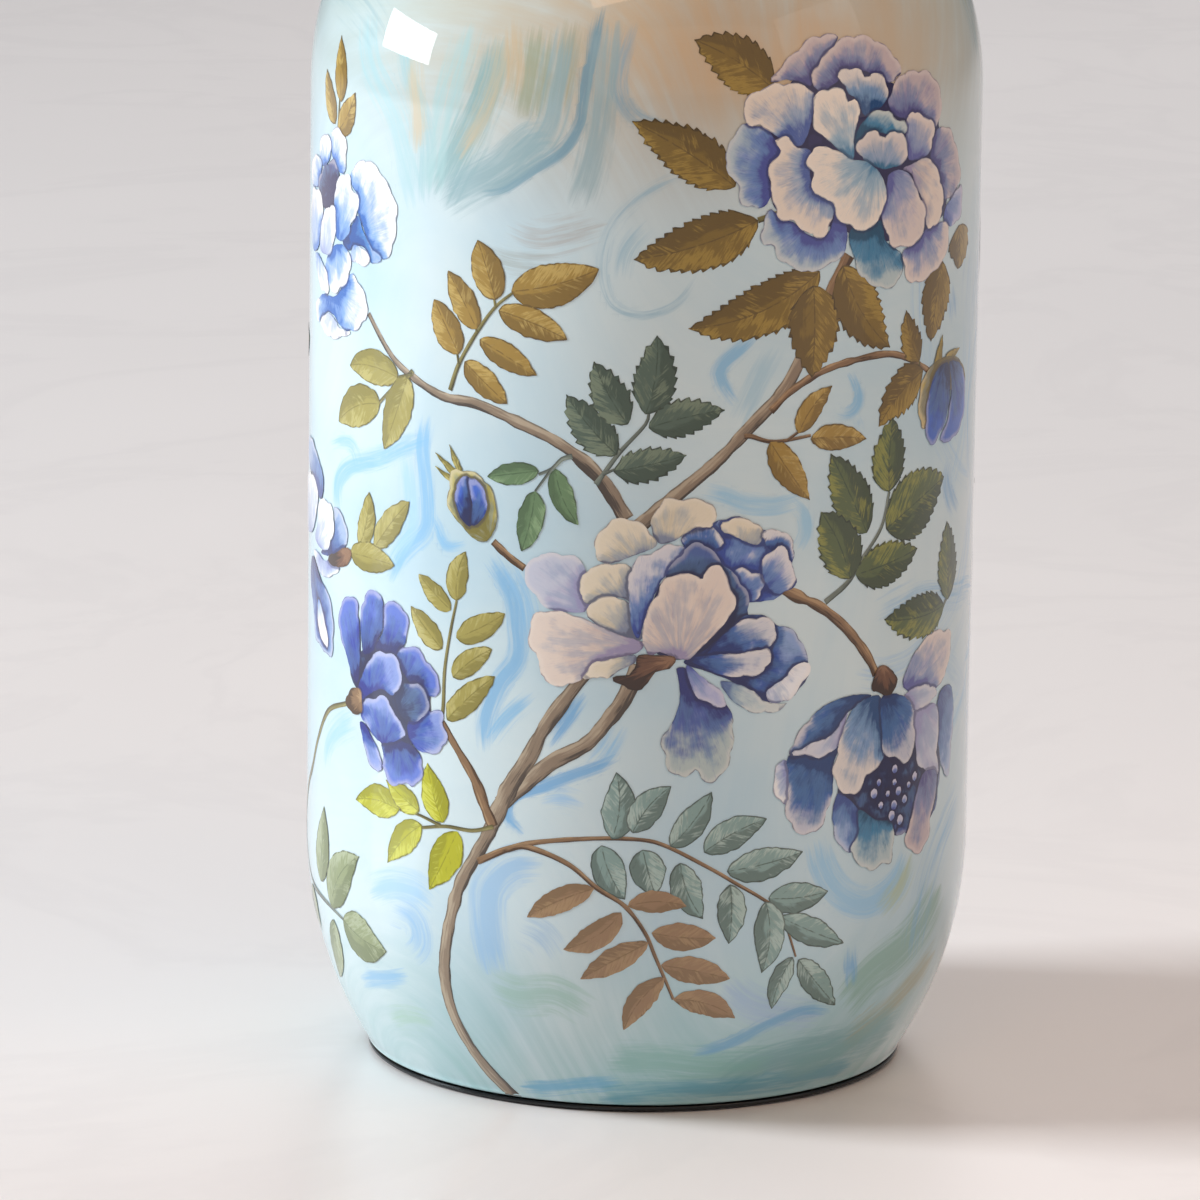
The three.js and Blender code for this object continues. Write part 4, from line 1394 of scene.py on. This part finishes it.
# Branches: chip, places, and widths at the two ends or at every place.
BRANCHES = (
    ("taupe", "-41,96 -34,102 -25,110 -15,116 -9,123 -4,130 0,140", (4.6, 4.8)),
    ("taupe", "-43.4,0.8 -52.5,11 -58,21 -61,31 -61,43 -58,57 -54,70 -49,79 -45,86 -41,95 -37,103 -32,111 "
     "-28,119 -22,128 -14,139", (5.4, 4.4, 4.2, 4, 4, 4, 4, 4.2, 4.4, 5, 5.2, 4.8, 4.4, 4.2, 4)),
    ("umber", "-43,89 -46,95 -49,102 -54,109 -61,118", (3.4, 2.4)),
    ("taupe", "-93,235 -83,225 -75,220 -62,215 -50,214 -37,210 -23,204 -12,195 -4,183", (1.8, 2, 2.4, 2.8,
     3, 3.3, 3.8, 4.4, 4.8)),
    ("taupe", "-4,178 10,190 22,200 32,210 42,220 48,230 54,240", (4, 4, 3.8, 3.8, 4, 4.2, 4.6)),
    ("umber", "38,214 45,220 56,225 69,227 80,227 90,224 102,218", (2.3, 1.8)),
    ("umber", "43,161 49,158 55,155 63,149 69,143 74,137 77,132", (3.2, 3)),
    ("umber", "-44,174 -39,170 -34,167", (2.6, 2.2)),
    ("stem_olive", "-100,118 -104,116 -117,111 -127,100 -134,90 -142,82 -149,71 -153,57 -153,40 -151,22 "
     "-153,2.2", (1.5, 2.2)),
    ("stem_grey", "-133,53 -141,57 -149,71", (1.6, 1.4)),
    ("stem_grey", "-158,46.8 -155,43 -153,36", (1.6, 1.4)),
)

# Green points round the buds.
SPIKES = {
    "bud": (
        ("olive", "-56,192 -64,198", 2.5), ("olive", "-55,193 -59,201", 2.1), ("olive", "-57,190 -64,194",
         2.1),
    ),
    "drooping_bud": (("ochre_olive", "104,220 107,229", 4.5), ("ochre_olive", "109,221 120,223", 3.7)),
}

# Dabs of pale paint in the mouth of the lantern flower.
LANTERN_DOTS = "86,102 86,98 79,99 88,95 77,96 83,95 91,92 80,92 86,91 85,88 89,86 93,96 96,98"

FLOWERS = {
    "rose": ROSE, "peony": PEONY, "bellflower": BELLFLOWER, "lantern": LANTERN,
    "camellia": CAMELLIA, "bindweed": BINDWEED, "bud": BUD, "drooping_bud": DROOPING_BUD,
}

# The rear is the front's network of branches as in a mirror, with its flowers changed over. The twigs that
# only the front has are given by their numbers in the list of branches.
REAR_CENTRE = 293
FRONT_TWIGS = (2, 8, 9, 10)
REAR_TWIGS = (
    ("umber", "-45,94 -54,112 -68,128 -84,140 -96,140 -100,134", (3, 1.8)),
    ("umber", "-58,214 -76,205 -92,192 -101,182 -104,177", (2.4, 1.6)),
)
SIDE_BRANCH = (
    ("taupe", "160.3,2.2 154,30 158,58 155,88 160,118 156,150 160,182 156,212 158,240", (3.8, 1.8)),
)

# Each is: name, motif, its pivot, the pivot's place, turn in degrees, scale, if mirrored, colours changed.
REAR_SPRIGS = (
    ("rear_peony_leaves", "peony_leaves", (60, 255), (388, 243), 8, 0.95, False,
     {"umber_olive": "ochre_olive"}),
    ("rear_crown_leaves", "crown_leaves", (-93, 235), (238, 248), -10, 1.2, False, {}),
    ("rear_gold_sprig", "gold_sprig", (-59, 217), (268, 203), 18, 1.0, False, {}),
    ("rear_dark_sprig", "dark_sprig", (-13, 193), (246, 226), 14, 1.0, True, {}),
    ("rear_green_sprig", "green_sprig", (0, 0), (REAR_CENTRE, 0), 0, 1.0, True, {}),
    ("rear_small_gold_sprig", "small_gold_sprig", (0, 0), (REAR_CENTRE, 0), 0, 1.0, True, {"gold": "olive"}),
    ("rear_shade_sprig", "shade_sprig", (0, 0), (REAR_CENTRE, 0), 0, 1.0, True, {"moss": "green"}),
    ("rear_fern_sprig", "fern_sprig", (0, 0), (REAR_CENTRE, 0), 0, 1.0, True, {}),
    ("rear_brown_sprig", "brown_sprig", (0, 0), (REAR_CENTRE, 0), 0, 1.0, True, {}),
    ("rear_lime_sprig", "lime_sprig", (-45, 89), (349, 52), 0, 1.05, True, {}),
    ("rear_foot_sprig", "foot_sprig", (-134, 53), (471, 47), 0, 1.0, True, {}),
    ("rear_olive_sprig", "gold_sprig", (-59, 217), (436, 196), -14, 0.85, False, {"gold": "olive"}),
    ("side_ladder_sprig", "ladder_sprig", (-61, 118), (157, 66), -38, 1.0, False, {}),
    ("side_elbow_sprig", "elbow_sprig", (-104, 161), (158, 128), 24, 1.1, False, {"olive": "forest"}),
    ("side_round_sprig", "round_sprig", (-73, 221), (157, 176), 28, 0.9, True, {}),
    ("side_grey_sprig", "foot_sprig", (-134, 53), (157, 36), 18, 0.7, False, {}),
)
REAR_FLOWERS = (
    ("rear_rose", "rose", (10, 142), (REAR_CENTRE - 10, 142), -5, 1.04, True, {
        "rose_cream": "pool", "ivory": "mist", "cobalt_white": "periwinkle", "violet": "slate",
    }),
    ("rear_peony", "peony", (60, 255), (388, 243), 8, 0.95, False, {
        "plum_rose": "shell_lilac", "shell": "rose_cream", "iris": "periwinkle",
    }),
    ("rear_camellia", "camellia", (-93, 235), (238, 248), -10, 1.2, False, {}),
    ("rear_bellflower", "bellflower", (-100, 118), (213, 134), -98, 1.0, False, {}),
    ("rear_lantern", "lantern", (80, 134), (REAR_CENTRE + 100, 136), 0, 1.0, False, {}),
    ("rear_bindweed", "bindweed", (-104, 161), (REAR_CENTRE + 104, 178), 6, 1.0, True, {}),
    ("rear_bud", "bud", (0, 0), (REAR_CENTRE, 0), 0, 1.0, True, {}),
    ("rear_drooping_bud", "drooping_bud", (0, 0), (REAR_CENTRE, 0), 0, 1.0, True, {}),
    ("side_bud", "bud", (-45, 175), (158, 238), 0, 1.15, True, {}),
)


def paint_flower(painting, kind):
    """Lays a flower's petals, back to front, with the spikes of a bud or the dabs of the lantern flower."""
    if kind.endswith("bud"):
        for chip, text, width in SPIKES[kind]:
            base, tip = places(text)
            painting.leaf(chip, base, tip, width, bow=0.0, blade=(0.2, 0.9))
    for chip, root, outline, dark, *line in FLOWERS[kind]:
        painting.petal(chip, places(root)[0], places(outline), dark, *line)
    if kind == "lantern":
        painting.dots("lilac", places(LANTERN_DOTS), 1.15)


def paint_branches(painting, branches):
    for chip, text, widths in branches:
        painting.stem(chip, places(text), widths)


def paint_sprig(painting, name):
    """Lays a sprig's stems, then its leaves over them."""
    chip, cut, leaves, stems = SPRIGS[name]
    for stem_chip, text, widths in stems:
        painting.stem(stem_chip, places(text), widths, line=0.5)
    for row in leaves:
        *ends, width = row.split(" ")
        base, tip = (places(end)[0] for end in ends)
        painting.leaf(chip, base, tip, float(width), **cut)


# ---------------------------------------------------------------- the base and the pads

def pad_centres():
    """Where each felt pad stands, from its box."""
    centres = []
    for name in PADS:
        low, high = span(name)
        centres.append(((low[0] + high[0]) / 2, (low[1] + high[1]) / 2, (high[0] - low[0]) / 2))
    return centres


def settle(piece, body="root"):
    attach(piece, body)


class VASE_OT_body(bpy.types.Operator):
    """Turns the pottery body: brushed glaze outside, plain glaze inside, bare clay under the foot"""

    bl_idname = "vase.body"
    bl_label = "Body"

    def execute(self, context):
        finishes = (ground_glaze(), inner_glaze(), bare_clay())
        body = turned("pottery_body", body_profile(), context.scene.vase_sizes.segments, finishes)
        brush_ground(body.data)
        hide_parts("vase_body")
        settle(body)
        return {"FINISHED"}


class VASE_OT_branches(bpy.types.Operator):
    """Paints the trunk, the branches and the twigs of the front"""

    bl_idname = "vase.branches"
    bl_label = "Branches"

    def execute(self, context):
        painting = Painting("front_branches", seed=FRONT_BRANCH_SEED)
        paint_branches(painting, BRANCHES)
        painting.make()
        return {"FINISHED"}


class VASE_OT_sprigs(bpy.types.Operator):
    """Paints the front's leaves with their stems, one piece for each sprig"""

    bl_idname = "vase.sprigs"
    bl_label = "Sprigs"

    def execute(self, context):
        for number, name in enumerate(SPRIGS):
            painting = Painting(name, SPRIG_COAT + number % SPRIG_COATS, seed=SPRIG_SEED + number)
            paint_sprig(painting, name)
            painting.make()
        return {"FINISHED"}


class VASE_OT_flowers(bpy.types.Operator):
    """Paints the front's flowers and buds, petal over petal"""

    bl_idname = "vase.flowers"
    bl_label = "Flowers and buds"

    def execute(self, context):
        for number, name in enumerate(FLOWERS):
            painting = Painting(name, FLOWER_COAT, seed=FLOWER_SEED + number)
            paint_flower(painting, name)
            painting.make()
        return {"FINISHED"}


class VASE_OT_rear_branches(bpy.types.Operator):
    """Paints the trunk and branches of the rear, and the slender branch between front and rear"""

    bl_idname = "vase.rear_branches"
    bl_label = "Rear branches"

    def execute(self, context):
        mirrored = Placement(at=(REAR_CENTRE, 0), mirror=True)
        painting = Painting("rear_branches", placement=mirrored, seed=REAR_BRANCH_SEED)
        kept = [branch for number, branch in enumerate(BRANCHES) if number not in FRONT_TWIGS]
        paint_branches(painting, (*REAR_TWIGS, *kept))
        painting.make()
        side = Painting("side_branch", seed=SIDE_BRANCH_SEED)
        paint_branches(side, SIDE_BRANCH)
        side.make()
        return {"FINISHED"}


class VASE_OT_rear_sprigs(bpy.types.Operator):
    """Paints the rear's leaves with their stems, one piece for each sprig"""

    bl_idname = "vase.rear_sprigs"
    bl_label = "Rear sprigs"

    def execute(self, context):
        for number, (name, kind, pivot, at, turn, scale, mirror, swap) in enumerate(REAR_SPRIGS):
            placement = Placement(pivot, at, turn, scale, mirror)
            coat = SPRIG_COAT + number % SPRIG_COATS
            painting = Painting(name, coat, placement, REAR_SPRIG_SEED + number, swap)
            paint_sprig(painting, kind)
            painting.make()
        return {"FINISHED"}


class VASE_OT_rear_flowers(bpy.types.Operator):
    """Paints the rear's flowers and buds, petal over petal"""

    bl_idname = "vase.rear_flowers"
    bl_label = "Rear flowers and buds"

    def execute(self, context):
        for number, (name, kind, pivot, at, turn, scale, mirror, swap) in enumerate(REAR_FLOWERS):
            placement = Placement(pivot, at, turn, scale, mirror)
            coat = FLOWER_COAT + number % REAR_FLOWER_COATS
            painting = Painting(name, coat, placement, REAR_FLOWER_SEED + number, swap)
            paint_flower(painting, kind)
            painting.make()
        return {"FINISHED"}


class VASE_OT_base(bpy.types.Operator):
    """Turns the lacquered base with its raised centre, and sinks a pocket for each felt pad"""

    bl_idname = "vase.base"
    bl_label = "Base"

    def execute(self, context):
        edge = PLATE_EDGE
        spigot = WELL_RADIUS - CLEARANCE
        half = math.pi / 2
        outline = straight((0, PLATE_BOTTOM), (PLATE_RADIUS - edge, PLATE_BOTTOM), 20)
        outline += arc((PLATE_RADIUS - edge, PLATE_BOTTOM + edge), edge, -half, 0, 0.15)
        outline += arc((PLATE_RADIUS - edge, PLATE_TOP - edge), edge, 0, half, 0.15)
        outline += [(spigot, PLATE_TOP), (spigot, SPIGOT_TOP - edge)]
        outline += [(spigot - edge, SPIGOT_TOP), (0, SPIGOT_TOP)]
        base = turned("lacquered_base", [(outline, 0)], BASE_SEGMENTS, (black_lacquer(),))
        for x, y, radius in pad_centres():
            reach = radius + PAD_MARGIN
            depth = [(0, -1.0), (reach, -1.0), (reach, PAD_THICKNESS), (0, PAD_THICKNESS)]
            cutter = turned("pocket", [(depth, 0)], POCKET_SEGMENTS, (black_lacquer(),))
            cutter.location = (x * MM, y * MM, 0)
            sink = base.modifiers.new("pocket", "BOOLEAN")
            sink.operation = "DIFFERENCE"
            sink.solver = "EXACT"
            sink.object = cutter
            context.view_layer.update()
            carved = bpy.data.meshes.new_from_object(base.evaluated_get(context.evaluated_depsgraph_get()))
            base.modifiers.clear()
            base.data = carved
            bpy.data.objects.remove(cutter)
        base.data.set_sharp_from_angle(angle=math.radians(35))
        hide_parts("base_plate")
        settle(base)
        return {"FINISHED"}


class VASE_OT_bedding(bpy.types.Operator):
    """Lays the soft bead that beds the foot on the base"""

    bl_idname = "vase.bedding"
    bl_label = "Bedding"

    def execute(self, context):
        outer = float(RING_HIGH[0])
        inner = WELL_RADIUS + BEDDING_INSET
        low, high = float(RING_LOW[2]), float(RING_HIGH[2])
        bow = (high - low) / 2
        half = math.pi / 2
        outline = arc((outer - bow, low + bow), bow, -half, half, 0.08)
        outline += arc((inner + bow, low + bow), bow, half, 3 * half, 0.08)
        outline.append(outline[0])
        ring = turned("bedding_bead", [(outline, 0)], BEDDING_SEGMENTS, (bedding_rubber(),), sharp=60)
        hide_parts("bedding_ring")
        settle(ring)
        return {"FINISHED"}


class VASE_OT_pads(bpy.types.Operator):
    """Presses the felt pads: soft edges and an uneven, fibrous face"""

    bl_idname = "vase.pads"
    bl_label = "Felt pads"

    def execute(self, context):
        for number, (name, (x, y, radius)) in enumerate(zip(PADS, pad_centres())):
            chance = np.random.default_rng(PAD_SEED + number)
            half = math.pi / 2
            soft = 0.55
            outline = straight((0, 0), (radius - soft, 0), 0.9)
            outline += arc((radius - soft, soft), soft, -half, 0, 0.2)
            outline += arc((radius - soft, PAD_THICKNESS - soft), soft, 0, half, 0.2)
            outline += straight((radius - soft, PAD_THICKNESS), (0, PAD_THICKNESS), 0.9)
            pad = turned(name + "_felt", [(outline, 0)], PAD_SEGMENTS, (pad_felt(),))
            shape = np.empty(len(pad.data.vertices) * 3, dtype=np.float32)
            pad.data.vertices.foreach_get("co", shape)
            shape = shape.reshape(-1, 3)
            fuzz = chance.uniform(0, 0.06, len(shape)) * MM
            centre = np.array([0, 0, PAD_THICKNESS / 2 * MM])
            inward = centre - shape
            shape += inward / np.maximum(np.linalg.norm(inward, axis=1, keepdims=True), 1e-9) * fuzz[:, None]
            shape += np.array([x, y, 0]) * MM
            pad.data.vertices.foreach_set("co", shape.ravel())
            pad.data.update()
            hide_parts(name)
            settle(pad)
        return {"FINISHED"}


# ---------------------------------------------------------------- floor, light and camera

# Where lights aim: the middle of the vase, its shoulder, and the floor behind it.
MIDDLE = (0, 0, TOP * 0.45 * MM)
SHOULDER_SIDE = (0, 0, TOP * 0.8 * MM)
BACKDROP = (0.3, 1.5, 0)

# Soft panels of light: place, aim, size, watts, colour, and whether the gloss mirrors them.
LIGHTS = {
    "window_light": ((-2.98, -0.05, 1.91), MIDDLE, (1.0, 0.85), 119, (0.92, 0.97, 1.0), False),
    "side_light": ((-2.94, 0.05, 0.86), MIDDLE, (1.25, 0.5), 24, (0.85, 0.94, 1.0), True),
    "room_light": ((0.5, -1.9, 0.9), MIDDLE, (2.6, 0.9), 2.3, (1.0, 0.86, 0.75), True),
    "warm_light": ((0.226, -0.68, 1.087), SHOULDER_SIDE, (1.3, 0.24), 3.0, (1.0, 0.62, 0.38), True),
    "warm_side_light": ((0.74, -0.14, 1.08), SHOULDER_SIDE, (1.2, 0.18), 1.7, (1.0, 0.66, 0.45), True),
    "wall_light": ((1.9, -0.9, 0.7), MIDDLE, (1.2, 1.4), 3.2, (1.0, 0.88, 0.8), True),
    "backdrop_light": ((0.6, 2.4, 1.7), BACKDROP, (2.0, 1.4), 21, (1.0, 0.96, 0.94), True),
}
SKY_COLOUR = (0.92, 0.93, 0.95, 1)
SKY_STRENGTH = 0.225

# The floor is a flat grid, this far out from the middle in metres and this many cells across.
FLOOR_REACH = 6.0
FLOOR_CELLS = 12


def soft_light(name, place, aim, size, power, colour, mirrored):
    """A large soft panel of light, aimed at a point, and mirrored in the gloss or not."""
    data = bpy.data.lights.new(name, "AREA")
    data.shape = "RECTANGLE"
    data.size, data.size_y = size
    data.energy = power
    data.color = colour
    panel = bpy.data.objects.new(name, data)
    bpy.context.scene.collection.objects.link(panel)
    panel.location = place
    panel.visible_camera = False
    panel.visible_glossy = mirrored
    panel.rotation_euler = (Vector(aim) - Vector(place)).to_track_quat("-Z", "Y").to_euler()


class VASE_OT_stage(bpy.types.Operator):
    """Sets the pale floor, the soft lights and the camera"""

    bl_idname = "vase.stage"
    bl_label = "Stage"

    def execute(self, context):
        scene = context.scene
        row = FLOOR_CELLS + 1
        side = np.linspace(-FLOOR_REACH, FLOOR_REACH, row)
        vertices = [(x, y, 0.0) for y in side for x in side]
        starts = [r * row + c for r in range(FLOOR_CELLS) for c in range(FLOOR_CELLS)]
        faces = [[start, start + 1, start + row + 1, start + row] for start in starts]
        mesh = bpy.data.meshes.new("floor")
        mesh.from_pydata(vertices, [], faces)
        mesh.materials.append(studio_floor())
        floor = bpy.data.objects.new("floor", mesh)
        scene.collection.objects.link(floor)

        for name, facts in LIGHTS.items():
            soft_light(name, *facts)
        world = bpy.data.worlds.new("studio")
        world.use_nodes = True
        sky = world.node_tree.nodes["Background"]
        sky.inputs["Color"].default_value = SKY_COLOUR
        sky.inputs["Strength"].default_value = SKY_STRENGTH
        scene.world = world
        scene.view_settings.view_transform = "Standard"

        self.aim_camera(scene)
        return {"FINISHED"}

    def aim_camera(self, scene):
        """A long lens, a little above, slightly turned so that the vase stands right of the middle."""
        pitch = math.radians(12.28)
        yaw = math.radians(0.282)
        roll = 0.0143
        distance = 2.4136
        target = Vector((0, 0, TOP * MM * 0.3435))
        forward = Vector((0, math.cos(pitch), -math.sin(pitch)))
        right = Vector((1, 0, 0))
        up = right.cross(forward)
        aim = forward * math.cos(yaw) - right * math.sin(yaw)
        across = right * math.cos(yaw) + forward * math.sin(yaw)
        x = across * math.cos(roll) + up * math.sin(roll)
        y = up * math.cos(roll) - across * math.sin(roll)
        place = target - forward * distance
        data = bpy.data.cameras.new("camera")
        data.lens = 240
        data.sensor_width = 36
        data.clip_end = 50
        camera = bpy.data.objects.new("camera", data)
        scene.collection.objects.link(camera)
        camera.matrix_world = Matrix((
            (x.x, y.x, -aim.x, place.x),
            (x.y, y.y, -aim.y, place.y),
            (x.z, y.z, -aim.z, place.z),
            (0, 0, 0, 1),
        ))
        scene.camera = camera


class VASE_PT_panel(bpy.types.Panel):
    """Lists the pieces of the vase"""

    bl_idname = "VASE_PT_panel"
    bl_label = "Painted vase"
    bl_space_type = "VIEW_3D"
    bl_region_type = "UI"
    bl_category = "Vase"

    def draw(self, context):
        for group in (context.scene.vase_sizes, context.scene.vase_colours):
            for name in group.__annotations__:
                self.layout.prop(group, name)
        for step in STEPS:
            self.layout.operator(step.bl_idname)


STEPS = (
    VASE_OT_stage, VASE_OT_body, VASE_OT_branches, VASE_OT_sprigs, VASE_OT_flowers,
    VASE_OT_rear_branches, VASE_OT_rear_sprigs, VASE_OT_rear_flowers,
    VASE_OT_base, VASE_OT_bedding, VASE_OT_pads,
)
CLASSES = (VaseSizes, VaseColours, *STEPS, VASE_PT_panel)


def register():
    for kind in CLASSES:
        bpy.utils.register_class(kind)
    bpy.types.Scene.vase_sizes = PointerProperty(type=VaseSizes)
    bpy.types.Scene.vase_colours = PointerProperty(type=VaseColours)


def unregister():
    del bpy.types.Scene.vase_colours
    del bpy.types.Scene.vase_sizes
    for kind in reversed(CLASSES):
        bpy.utils.unregister_class(kind)


def main():
    register()
    for step in STEPS:
        group, name = step.bl_idname.split(".")
        getattr(getattr(bpy.ops, group), name)()


if __name__ == "__main__":
    main()
